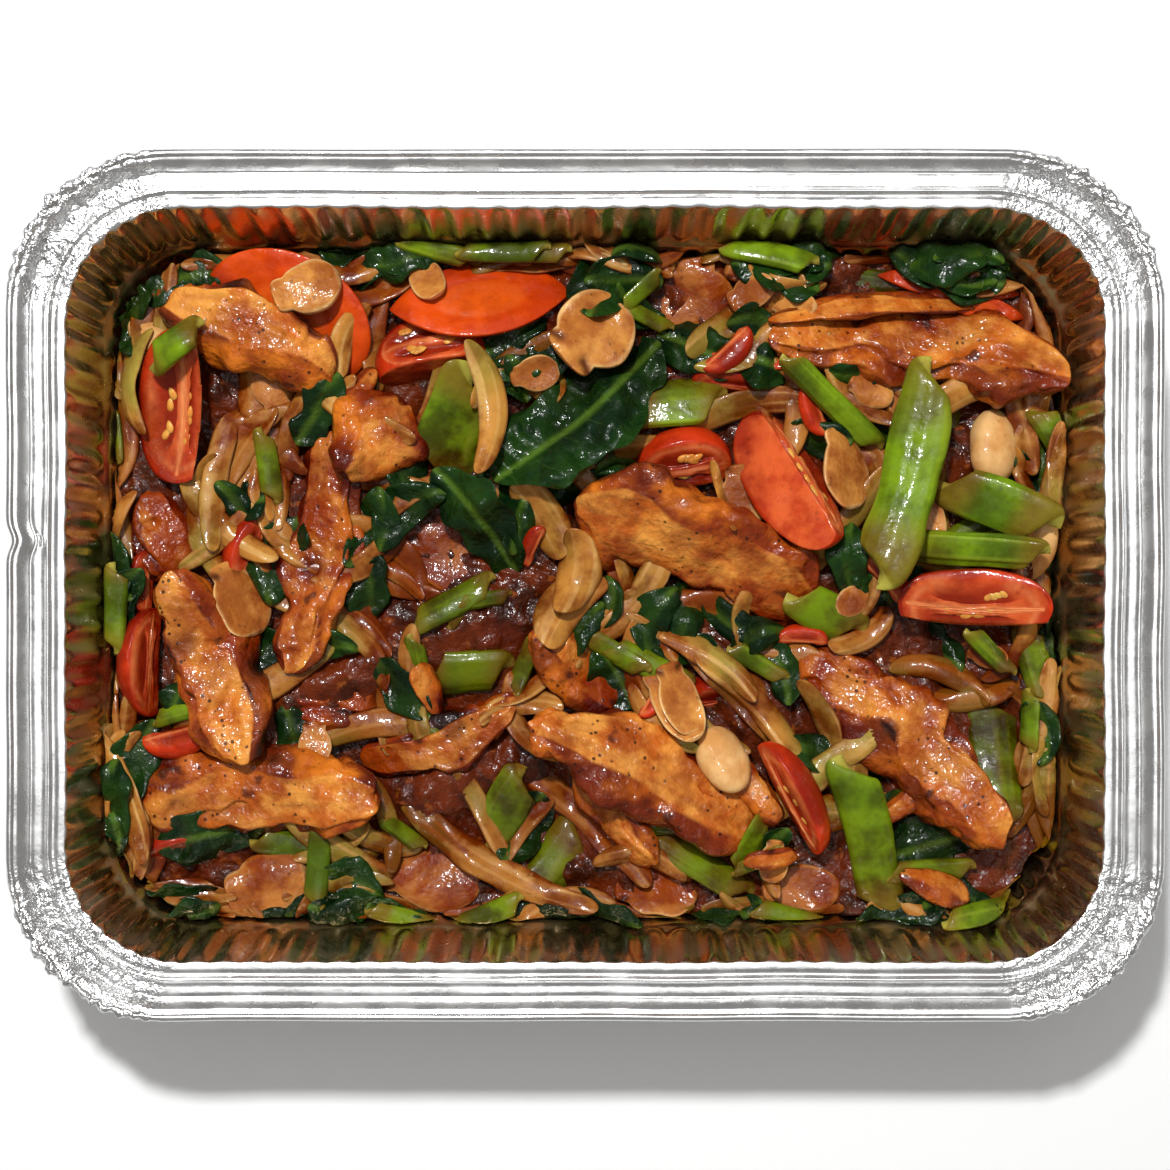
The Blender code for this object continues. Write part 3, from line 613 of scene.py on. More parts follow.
# %% [markdown]
# Slices are flat plates: the sine of the ring's angle is raised to a small power, so that the
# top and bottom are level and only the rim is round. Leaves and onions are thinner still, and
# wave along their length. Tomatoes show either their skin or their cut face.

# %% Slices, leaves, onions and tomatoes


def plate(u, angle, outline, half_width, thick, edge=0.22):
    """v and w of a flat piece whose half width is outline, a share of half_width."""
    v = half_width * outline * full(np.cos(angle), 0.75)
    w = thick / 2 * full(np.sin(angle), edge) * np.minimum(1, outline * 2.2)
    return v, w


def carrot(lie, seed):
    """A slice of carrot: an oval, or two points if it is long, with a paler core."""
    u, angle = rings_of(70, 80)
    pointed = lie.half_length / lie.half_width > 1.8
    outline = (1 - u**2) ** (0.85 if pointed else 0.5)
    v, w = plate(u, angle, outline, lie.half_width, lie.thick)
    across = v / lie.half_width
    body = np.stack([u * lie.half_length, v, w], -1)
    w = w + 0.22 * waves(body, 14, seed) + 0.05 * waves(body * [1, 1, 0], 2.2, seed + 1)
    middle = np.hypot(u, across)
    rings = np.stack([u, v, w - 0.25 * bump_at(middle, 0.5, 0.08)], -1)
    return rings, {"core": 1 - step(middle, 0.40, 0.56)}


def mushroom(lie, seed):
    """A slice through a mushroom: a domed cap, dark gills under it and a stem, long or short."""
    random = np.random.default_rng(seed)
    u, angle = rings_of(84, 80)
    start, stem_width = random.uniform(-1.4, -0.85), random.uniform(0.45, 0.65)
    cap = np.sqrt(np.clip(1 - ((u - 0.12) / 0.89) ** 2, 0, 1)) * step(u, start - 0.25, start + 0.2)
    stem = stem_width * (1 + 0.3 * u**2) * (1 - np.abs(u) ** 10) ** 0.5 * (u < 0.5)
    outline = np.maximum(np.maximum(cap, stem), 0.02)
    edge = np.stack([u * lie.half_length, 4 * np.sign(np.cos(angle))], -1)
    outline = outline * (1 + 0.07 * waves(edge, 9, seed + 1))
    v, w = plate(u, angle, outline, lie.half_width, lie.thick, 0.3)
    across = v / lie.half_width
    body = np.stack([u * lie.half_length, v, w], -1)
    curl = random.uniform(-0.2, 0.25) * lie.half_width * (across**2 - 0.3)
    gills = bump_at(u - start - 0.22 + 0.30 * across**2, 0.0, 0.12) * step(np.abs(across), 0.2, 0.4)
    gills = gills * (1 - step(np.abs(across), 0.80, 0.95))
    w = w + curl + 0.45 * waves(body, 10, seed) - 0.5 * gills * (np.sin(angle) > 0)
    edge = np.maximum(step(np.abs(across) / outline, 0.82, 0.97), step(u, 0.86, 0.98))
    rim = edge * step(u, start, start + 0.3)
    return np.stack([u, v, w], -1), {"rim": rim, "gill": gills}


def leaf(lie, seed):
    """A cooked leaf: a thin, crumpled sheet with a grooved midrib and branching side veins."""
    u, angle = rings_of(140, 80)
    outline = (1 - np.abs(u) ** 2.2) ** 0.6
    edge = u * lie.half_length
    outline = outline * (1 + 0.15 * waves(edge[..., None], 9, seed))
    v = lie.half_width * outline * full(np.cos(angle), 0.9)
    w = 0.45 * full(np.sin(angle), 0.4) * np.minimum(1, outline * 3)
    flat = np.stack([edge, v], -1)
    crumple = 1.4 * waves(flat, 13, seed + 1) + 0.5 * waves(flat, 5, seed + 2)
    ruffle = 0.8 * (np.abs(v) / lie.half_width) ** 2 * waves(flat, 8, seed + 3)
    branches = np.abs(np.sin((edge - 0.75 * np.abs(v)) * math.pi / 6.5 + 0.4 * crumple))
    midrib = bump_at(v, 0.25 * waves(edge[..., None], 30, seed + 4), 0.75)
    side_veins = (1 - step(branches, 0.0, 0.16)) * (1 - 0.6 * np.abs(v) / lie.half_width)
    veins = np.maximum(midrib, 0.55 * side_veins)
    w = w + crumple + ruffle - 0.5 * midrib - 0.18 * side_veins
    return np.stack([u, v, w], -1), {"vein": np.clip(veins, 0, 1)}


def onion(lie, seed):
    """A strip of soft onion: a thin, arched layer, lined along its length, brown at its edges."""
    u, angle = rings_of(110, 56)
    outline = (1 - 0.35 * u**2) * (1 - np.abs(u) ** 9) ** 0.5
    edge = u * lie.half_length
    outline = outline * (1 + 0.06 * waves(edge[..., None], 12, seed + 3))
    v = lie.half_width * outline * full(np.cos(angle), 0.9)
    w = 0.16 * lie.thick * full(np.sin(angle), 0.5) * np.minimum(1, outline * 3)
    across = v / lie.half_width
    flat = np.stack([edge, v], -1)
    arch = 0.45 * lie.thick * (0.6 - across**2)
    lines = waves(np.stack([edge * 0.03, v], -1), 1.6, seed)
    twist = 0.9 * waves(edge[..., None], 18, seed + 1) * across
    w = w + arch + twist + 0.05 * lines + 0.35 * waves(flat, 9, seed + 2)
    brown = step(np.abs(across) / np.maximum(outline, 0.1), 0.72, 0.98)
    marks = {"line": np.clip(0.5 + 0.5 * lines, 0, 1)}
    marks["edge"] = np.maximum(brown * 0.8, step(np.abs(u), 0.90, 0.99) * 0.6)
    return np.stack([u, v, w], -1), marks


def pockets(u, across):
    """How deep in one of the two seed pockets of a cut tomato a place is, 0 to 1."""
    off = np.hypot(u / 0.62, (np.abs(across + 0.05) - 0.40) / 0.26)
    return 1 - step(off, 0.70, 1.05)


def tomato(lie, seed, facing=140.0, depth=0.22):
    """Part of a tomato: an egg of skin cut by two planes. facing is where the upper cut looks,
    in degrees round from +v by way of +w, and depth is how far it stays off the middle."""
    u, angle = rings_of(90, 120)
    ends = (1 - np.abs(u) ** 2.1) ** 0.5
    look, under = math.radians(facing), math.radians(facing + 105)
    towards = np.maximum(np.cos(angle - look), 1e-3)
    below = np.maximum(np.cos(angle - under), 1e-3)
    room = depth * (1 - 0.35 * u**2)
    cut = room / towards / np.maximum(ends, 0.05)
    second = 0.30 / below / np.maximum(ends, 0.05)
    scale = np.minimum(1.0, np.minimum(cut, second))
    on_cut = (cut < 1.0) & (cut <= second)
    on_face = on_cut | ((second < 1.0) & (second < cut))
    along_face = scale * ends * np.sin(angle - look)
    edge = np.sqrt(np.clip(ends**2 - room**2, 1e-4, 1))
    share = np.clip(along_face / edge, -1, 1)
    rim = np.maximum(np.abs(share), np.hypot(u, along_face))
    pocket = pockets(u, share) * on_cut
    body = np.stack([u * lie.half_length, 8 * np.cos(angle), 8 * np.sin(angle)], -1)
    wrinkle = waves(body * [0.3, 1, 1], 3.0, seed) * step(np.abs(u), 0.4, 1.0) * ~on_face
    scale = scale * (1 + 0.025 * waves(body, 14, seed + 1) + 0.010 * wrinkle)
    scale = scale - 0.16 * pocket + 0.02 * waves(body, 3.5, seed + 2) * on_cut * (rim < 0.85)
    v = lie.half_width * ends * scale * np.cos(angle)
    w = lie.thick * 0.60 * ends * scale * np.sin(angle)
    cut_mark = on_face * (1 - step(rim, 0.93, 0.96) * on_cut)
    rib = np.maximum(bump_at(share, -0.05, 0.09), bump_at(rim, 0.80, 0.05) * 0.5) * on_cut
    marks = {"cut": cut_mark, "jelly": pocket, "rib": rib * (1 - pocket) * (rim < 0.9)}
    return np.stack([u, v, w], -1), marks


SHAPES = {
    "chicken": chicken,
    "stalk": stalk,
    "peanut": peanut,
    "carrot": carrot,
    "mushroom": mushroom,
    "leaf": leaf,
    "onion": onion,
    "tomato": tomato,
}
# Where the upper cut of a tomato looks, and how far it stays off the middle.
TOMATO_CUTS = {"tomato_7": (112.0, 0.20), "tomato_8": (104.0, 0.12), "tomato_5": (20.0, 0.40),
               "tomato_6": (155.0, 0.10), "tomato_3": (60.0, 0.75), "tomato_2": (120.0, 0.45)}


def coarse(rings, marks, stations, around):
    """Only so many of the rings and points of a shape, for a piece that is small or far down."""
    stations, around = min(stations, rings.shape[0]), min(around, rings.shape[1])
    rows = np.linspace(0, rings.shape[0] - 1, stations).round().astype(int)
    columns = (np.arange(around) * rings.shape[1] / around).astype(int)
    picked = {label: value[rows][:, columns] for label, value in marks.items()}
    return rings[rows][:, columns], picked


def lay(name, kind, lie, seed, extra=(), detail=(150, 150)):
    """Makes one detailed piece of food where lie says and gives its object."""
    rings, marks = coarse(*SHAPES[kind](lie, seed, *extra), *detail)
    skin = within_wall(with_poles(lie.place(rings)))
    marks = {label: pole_marks(values) for label, values in marks.items()}
    return add_skins(name, [skin], rings.shape[:2], FOODS[kind], marks)


# %% [markdown]
# ## The named pieces
#
# Every named piece of the model now gets its detailed twin. The plain solid that the twin
# stands for is hidden, and only serves for collision.

# %% Lay the detailed pieces
for number, (name, lie) in enumerate(sorted(LIES.items())):
    kind = name.split("_")[0]
    extra = TOMATO_CUTS.get(name, ())
    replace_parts(lay(name + "_food", kind, lie, 10 * number, extra), name)
print(len(LIES), "pieces laid")

# %% [markdown]
# The cut tomatoes carry seeds in their pockets: small teardrops, each on the cut plane of its
# own tomato, which is a few sines and cosines away from the tomato's middle.

# %% Tomato seeds


def add_seeds(name, random, count=9):
    """Seeds on the cut face of one tomato, as one mesh of small flat eggs."""
    lie = LIES[name]
    facing, depth = TOMATO_CUTS[name]
    look = math.radians(facing)
    u, angle = rings_of(10, 12)
    skins = []
    for number in range(count):
        side = (0.34 if number % 2 else -0.10) + random.uniform(-0.08, 0.08)
        along = random.uniform(-0.45, 0.45)
        turn = random.uniform(-0.6, 0.6)
        across = side * math.sin(look) + (depth - 0.08) * math.cos(look)
        height = -side * math.cos(look) + (depth - 0.08) * math.sin(look)
        ends = (1 - u**2) ** 0.5 * (1 - 0.3 * u)
        long, wide = 1.25 * u, 0.75 * ends * np.cos(angle)
        ring_u = along + (long * math.cos(turn) - wide * math.sin(turn)) / lie.half_length
        in_face = long * math.sin(turn) + wide * math.cos(turn)
        off_face = 0.42 * ends * np.sin(angle)
        v = lie.half_width * across + in_face * math.sin(look) + off_face * math.cos(look)
        w = 0.6 * lie.thick * height - in_face * math.cos(look) + off_face * math.sin(look)
        skins.append(with_poles(lie.place(np.stack([ring_u, v, w], -1))))
    return add_skins(name + "_seeds", skins, u.shape, FOODS["seed"])


for number, name in enumerate(TOMATO_CUTS):
    add_seeds(name, np.random.default_rng(40 + number))

# %% [markdown]
# ## The tray
#
# A pressed foil pan is one skin: up the inside, over the rim, round the hem and down the
# outside. The rows of points below follow that path. Across the rows run the flutes of the
# wall, and at the corners, where the sheet had to gather, fine pleats and crinkles.

# %% Foil outline and profile
FLUTE_DEPTH = 0.55
FLUTE_STEPS, CORNER_STEPS = 8, 104
LONG_FLUTES, SHORT_FLUTES, CORNER_FLUTES = 28, 18, 9
SHEET, HEM_RADIUS = 0.35, 0.85
# Both sides of the sheet have their rows at these heights, so that neither cuts the other.
WALL_HEIGHTS = (0.9, 3.0, 6.5, 10.0, 13.5, 17.0, 20.0, 22.0, 23.2, 24.0, 24.7, 25.4, 26.4,
                28.5, 31.0, 33.5, 36.0, 37.5, 38.4)


def foil_outline():
    """For every step round the tray: corner centre signs, direction, run along a side, flute."""
    signs, normals, runs, flutes, corner = [], [], [], [], []
    for number, sign in enumerate(((1, -1), (1, 1), (-1, 1), (-1, -1))):
        turn = math.pi / 2 * (number - 1 + np.arange(CORNER_STEPS) / CORNER_STEPS)
        count = FLUTE_STEPS * (SHORT_FLUTES if number % 2 == 0 else LONG_FLUTES)
        straight = np.full(count, math.pi / 2 * number)
        angles = np.concatenate([turn, straight])
        normals.append(np.stack([np.cos(angles), np.sin(angles)], -1))
        signs.append(np.tile(sign, (len(angles), 1)))
        runs.append(np.concatenate([np.zeros(CORNER_STEPS), np.arange(count) / count]))
        share = np.arange(CORNER_STEPS) / CORNER_STEPS
        flutes.append(np.concatenate([share * CORNER_FLUTES, np.arange(count) / FLUTE_STEPS]))
        corner.append(np.concatenate([np.sin(math.pi * share), np.zeros(count)]))
    return (np.concatenate(part) for part in (signs, normals, runs, flutes, corner))


SIGNS, NORMALS, RUNS, FLUTES, CORNER = foil_outline()
ALONG = np.round(np.stack([-NORMALS[:, 1], NORMALS[:, 0]], -1) * (RUNS > 0)[:, None])


def foil_ring(half, radius):
    """The rounded rectangle of that half size and corner radius, step by step."""
    centres = SIGNS * (np.asarray(half) - radius)
    reach = 2 * np.abs(ALONG @ np.diag(half - radius)).sum(1)
    return centres + radius * NORMALS + ALONG * (reach * RUNS)[:, None]


def wall_rows(heights, sheet):
    """Rows of the wall: half size, radius, height, flute and crinkle weight, sheet to add."""
    rows = []
    for z in heights:
        # The flutes fade at the wall's step halfway up, and again below the lip.
        flute = step(z, 25.0, 26.5) + step(-z, -23.0, -21.0)
        flute = flute * (1 - 0.8 * step(z, 37.5, 39.4))
        rows.append((*wall_at(z), z, flute, 0.35, sheet))
    return rows


def rim_row(out, z, crinkle):
    """A row of the rim at a distance outside the lip."""
    radius = LIP_RADIUS + (EDGE_RADIUS - LIP_RADIUS) * out / RIM_WIDTH
    return LIP_HALF + out, radius, z, 0.0, crinkle, 0.0


def rim_rows():
    """Lip, raised bead, shelf, leaning flange and rolled hem, from the opening outwards."""
    # (how far outside the lip, how far above the shelf, crinkle weight)
    shelf = [(0.25, 0.0, 0.1), (1.2, 0.02, 0.1), (1.9, 0.0, 0.1), (2.15, -0.3, 0.1),
             (2.4, -0.25, 0.1), (2.7, 0.35, 0.1), (3.0, 0.62, 0.1), (3.3, 0.55, 0.2),
             (3.6, 0.1, 0.2), (3.9, -0.12, 0.3), (4.6, 0.0, 0.4), (5.4, 0.0, 0.6),
             (6.0, 0.02, 0.8), (6.3, -0.15, 0.8), (6.6, 0.25, 0.9), (7.2, 0.95, 1.0),
             (7.9, 1.70, 1.0), (8.5, 2.20, 1.0), (8.8, 2.10, 0.9), (9.1, 2.30, 0.8)]
    rows = [rim_row(out, SHELF_Z + up, crinkle) for out, up, crinkle in shelf]
    for angle in np.radians((120, 90, 60, 30, 0, -30, -60, -100, -150)):
        out = RIM_WIDTH - HEM_RADIUS + HEM_RADIUS * math.cos(angle)
        z = TRAY_HEIGHT - HEM_RADIUS + HEM_RADIUS * math.sin(angle)
        rows.append(rim_row(out, z, 0.8))
    under = [(8.6, 1.5), (7.6, 0.7), (6.5, -0.3), (4.5, -SHEET), (3.2, -0.1), (1.0, -SHEET)]
    return rows + [rim_row(out, SHELF_Z + up, 0.5) for out, up in under]


def floor_rows(z, out, shares):
    """Rows of the floor, as shares of its size."""
    half = LIP_HALF - WALL_INSET - STEP_WIDTH + out
    return [(half * share, BASE_RADIUS * share, z, 0.0, 0.0, 0.0) for share in shares]


def foil_points():
    """All rows of the foil as rings of points, fluted, pleated at the corners and dented.
    Gives the rings and how many of them belong to the inside."""
    inside = floor_rows(0.45, -1.4, (0.2, 0.6, 0.9, 1.0))
    inside = inside + wall_rows((*WALL_HEIGHTS, 39.0, 39.3), 0.0)
    outside = wall_rows((*WALL_HEIGHTS[::-1], 0.5), SHEET)
    outside = outside + floor_rows(0.0, -0.8, (1.0, 0.9, 0.6, 0.2))
    rows = inside + rim_rows() + outside
    rings = np.empty((len(rows), len(NORMALS), 3))
    wave = np.cos(2 * math.pi * FLUTES)
    for number, (half, radius, z, flute, crinkle, sheet) in enumerate(rows):
        flat = foil_ring(half, radius)
        around = np.column_stack([flat, np.full(len(flat), z * 0.6)])
        gather = np.abs(waves(around, 4.4, 3)) - 0.5 + 0.5 * (np.abs(waves(around, 2.0, 4)) - 0.5)
        out = FLUTE_DEPTH * flute * (wave + 0.5 * CORNER * gather)
        out = out + 0.85 * crinkle * CORNER * gather + 0.10 * waves(flat, 34, 5) * (z > 30)
        out = out + sheet
        pinch = bump_at(flat[:, 1], 8.0, 2.2) * (flat[:, 0] < -LIP_HALF[0] - 5)
        rings[number, :, :2] = flat + NORMALS * (out - 1.1 * pinch)[:, None]
        lift = crinkle * (0.42 * CORNER * gather + 0.05 * waves(flat, 12, 6))
        lift = lift + 0.16 * waves(flat, 45, 7) * (z > 36)
        rings[number, :, 2] = z + lift * (z > 5)
    rings[:, :, 2] = np.clip(rings[:, :, 2], 0.0, TRAY_HEIGHT + 0.3)
    return rings, len(inside)


def foil_material():
    """Bright rolled aluminium: crinkled, unevenly polished, tinted brown low inside as a painted
    reflection of the food.
    """
    material = bpy.data.materials.new("pressed foil")
    material.use_nodes = True
    tree = material.node_tree
    shader = tree.nodes["Principled BSDF"]
    where = node(tree, "ShaderNodeTexCoord").outputs["Object"]
    height = node(tree, "ShaderNodeSeparateXYZ", {"Vector": where}).outputs["Z"]
    # Inside, the foil is tinted brown, most low down: a painted reflection of the food.
    film_and_painted_light = ramp(tree, height, 0.042, 0.026, 0.2, 0.85)
    inner = node(tree, "ShaderNodeMath", {0: film_and_painted_light, 1: mark(tree, "inside")}, operation="MULTIPLY")
    foil_colour_and_painted_reflection = mix(tree, inner.outputs[0], (0.84, 0.84, 0.84, 1), colour(188, 156, 86))
    rough = ramp(tree, noise(tree, 160.0, 4.0, 0.6, where), 0.35, 0.7, 0.20, 0.38)
    sockets = {"Strength": 0.18, "Distance": 0.0004, "Height": noise(tree, 420.0, 3.0, 0.5, where)}
    bump = node(tree, "ShaderNodeBump", sockets).outputs["Normal"]
    sockets = {"Strength": 0.15, "Distance": 0.002, "Normal": bump,
               "Height": noise(tree, 60.0, 2.0, 0.5, where)}
    bump = node(tree, "ShaderNodeBump", sockets).outputs["Normal"]
    sockets = {"Strength": mark(tree, "crinkle"), "Distance": 0.0009, "Normal": bump,
               "Height": noise(tree, 620.0, 3.0, 0.6, where)}
    bump = node(tree, "ShaderNodeBump", sockets).outputs["Normal"]
    tree.links.new(foil_colour_and_painted_reflection, shader.inputs["Base Color"])
    tree.links.new(rough, shader.inputs["Roughness"])
    tree.links.new(bump, shader.inputs["Normal"])
    shader.inputs["Metallic"].default_value = 1.0
    return material


# %% [markdown]
# The rings run the other way round the path so that the faces look outwards. The rings of the
# inner wall carry a mark, because only the inside of the tray gets the brown tint that is a
# painted reflection of the food.

# %% Press the foil
foil_rings, inside_rows = foil_points()
foil_rings = foil_rings[:, ::-1]
inside_mark = np.zeros(foil_rings.shape[:2])
inside_mark[:inside_rows] = 1.0
crinkle_mark = np.clip(1.6 * CORNER[::-1], 0, 1) * (1 - inside_mark)
foil_marks = {"inside": pole_marks(inside_mark), "crinkle": pole_marks(crinkle_mark)}
foil = add_skins("foil", [with_poles(foil_rings)], inside_mark.shape, foil_material(), foil_marks)
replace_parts(foil, "tray")
print("foil:", inside_mark.shape[0], "rings of", inside_mark.shape[1], "points")

# %% [markdown]
# ## What fills the gaps
#
# Between the named pieces a real stir-fry is packed with smaller things in a dark, oily sauce.
# The heap below is a map of heights, one for each square millimetre. It starts from the
# named pieces and a core of sauce. Each further piece looks up the heights under it, lies on
# them with a fitted tilt and bend, and then raises the map itself.

# %% A map of the heap
POOL_MIDDLE, POOL_EDGE = 20.5, 20.0
POOL_STEPS = 400
# A named piece counts where its top is above this height.
NAMED_ABOVE = 15


def wall_inset(x, y):
    """How far inside the tray's wall, at the height of the food, a place is."""
    half, radius = LIP_HALF - 4.6, LIP_RADIUS - 3
    past = np.abs(np.stack([x, y], -1)) - (half - radius)
    outside = np.hypot(*np.moveaxis(np.maximum(past, 0), -1, 0))
    return radius - outside - np.minimum(past.max(-1), 0)


def open_corner(x, y):
    """How much a place belongs to the corner where only sauce stands, 0 to 1."""
    return bump_at(x, 78, 13) * bump_at(y, -52, 10)


def pool_height(x, y):
    """The core of sauce and chopped vegetables: gentle mounds that sink towards one corner."""
    inside = step(wall_inset(x, y), 0, 34)
    height = POOL_EDGE + (POOL_MIDDLE - POOL_EDGE) * inside
    height = height + 1.5 * waves(np.stack([x, y], -1), 30, 61)
    return height - 2.6 * open_corner(x, y)


class Heap:
    """Heights of what already lies in the tray, on a grid of whole millimetres."""

    def __init__(self):
        self.low = -np.ceil(LIP_HALF)
        shape = (2 * -self.low + 1).astype(int)
        self.x, self.y = (axis.astype(float) for axis in np.indices(shape))
        self.x, self.y = self.x + self.low[0], self.y + self.low[1]
        points, faces = [], []
        for name in LIES:
            plain, start = NODES[name].data, len(points)
            points += [vertex.co / MM for vertex in plain.vertices]
            faces += [[start + k for k in face.vertices] for face in plain.polygons]
        tree = BVHTree.FromPolygons(points, faces)
        down = Vector((0, 0, -1))
        places = zip(self.x.flat, self.y.flat)
        hits = [tree.ray_cast(Vector((*place, 100)), down)[0] for place in places]
        self.named = np.array([hit.z if hit else 0.0 for hit in hits]).reshape(self.x.shape)
        self.top = np.maximum(self.named, pool_height(self.x, self.y))

    def cells(self, x, y):
        """The indices of places on the grid. Places beyond its edge are drawn onto it."""
        nearest = np.rint(np.stack([x, y], -1) - self.low).astype(int)
        last = np.array(self.top.shape) - 1
        return tuple(np.moveaxis(np.clip(nearest, 0, last), -1, 0))

    def at(self, x, y, level=99.0):
        """The heights at places, none counted above a level."""
        return np.minimum(self.top[self.cells(x, y)], level)

    def near_named(self, x, y):
        """Whether a place lies well within a named piece, seen from above."""
        i, j = self.cells(x, y)
        return self.named[i - 1:i + 2, j - 1:j + 2].min() > NAMED_ABOVE

    def hides(self, lie):
        """The share of a piece that lies over a named piece, where it would hide it."""
        u, v = np.meshgrid(np.linspace(-0.9, 0.9, 9), np.linspace(-0.8, 0.8, 3))
        over = lie.place(np.stack([u, v * lie.half_width, 0 * u], -1)).reshape(-1, 3)
        named = self.named[self.cells(over[:, 0], over[:, 1])]
        return float(((named > NAMED_ABOVE) & (named < over[:, 2] + 0.8)).mean())

    def rest(self, x, y, heading, size, bow=0.0, level=99.0, sink=0.35):
        """How a piece lies there: tilts and bend fitted to the heights under it."""
        lie = Lie.__new__(Lie)  # there is no plain piece to measure here
        length, width, thick = size
        lie.middle = np.array([x, y])
        lie.ahead = np.array([math.cos(math.radians(heading)), math.sin(math.radians(heading))])
        lie.aside = np.array([-lie.ahead[1], lie.ahead[0]])
        lie.half_length, lie.half_width, lie.thick = length / 2, width / 2, thick
        lie.bow = np.array([bow / 2, -bow])
        u, v = (grid.ravel() for grid in np.meshgrid(np.linspace(-0.9, 0.9, 9), (-0.7, 0, 0.7)))
        lie.rest = np.zeros(4)
        under = lie.place(np.stack([u, v * lie.half_width, 0 * u], -1))
        heights = self.at(under[:, 0], under[:, 1], level)
        slopes = Lie.upwards(u, v)
        keep = np.diag([0.0, 3.0, 3.0, 3.0])
        fitted = np.linalg.solve(slopes.T @ slopes + keep, slopes.T @ heights)
        fitted[0] += thick * (0.5 - sink) + 0.3 * (heights - slopes @ fitted).max()
        lie.rest = fitted
        return lie

    def cover(self, lie):
        """Raises the map to the top of a piece that has come to lie there."""
        u, v = np.meshgrid(np.linspace(-0.92, 0.92, 30), np.linspace(-0.9, 0.9, 12))
        inside = u**2 + v**2 < 1
        u, v = u[inside], v[inside] * lie.half_width
        top = lie.place(np.stack([u, v, np.full(u.shape, lie.thick * 0.42)], -1))
        np.maximum.at(self.top, self.cells(top[:, 0], top[:, 1]), top[:, 2])


heap = Heap()
covered = float((heap.named > NAMED_ABOVE).mean())
print("named pieces cover", round(100 * covered), "% of the opening")

# %% [markdown]
# The core stands under everything: a grid that is drawn to the tray's outline, with a rough,
# lumpy top and a skirt down to the floor. It is smaller than the plain bed of the model.

# %% Pour the sauce


def make_pool():
    """The core of sauce: rings from the middle outwards, then down the wall to the floor."""
    angle = 2 * math.pi * np.arange(POOL_STEPS) / POOL_STEPS
    way = np.stack([np.cos(angle), np.sin(angle)], -1)
    half, power = LIP_HALF - 3.0, 5.5
    reach = (np.abs(way / half) ** power).sum(1) ** (-1 / power)
    rings = []
    for share in np.sin(np.linspace(0.01, 1, 100) * math.pi / 2):
        flat = way * (reach * share)[:, None]
        x, y = flat[:, 0], flat[:, 1]
        high = pool_height(x, y) + 0.55 * waves(flat, 5.5, 62) + 0.25 * waves(flat, 2.4, 63)
        rings.append(within_wall(np.column_stack([flat, high])))
    for z in (14.0, 8.0, 1.2):
        rings.append(within_wall(np.column_stack([flat, np.full(POOL_STEPS, z)])))
    rings.append(rings[-1] * [0.6, 0.6, 1])
    rings = np.array(rings)[::-1]
    pool = add_skins("sauce_core", [with_poles(rings)], rings.shape[:2], FOODS["sauce"])
    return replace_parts(pool, "bed")


make_pool()

# %% [markdown]
# Next come the pieces that are too thin or too small to be nodes of the model, each listed
# where the meal has one: stray onion rings, mushroom slices, leaves and pale sticks.
# A level of 24 or so tucks a piece between its neighbours, and 99 lets it lie on top.

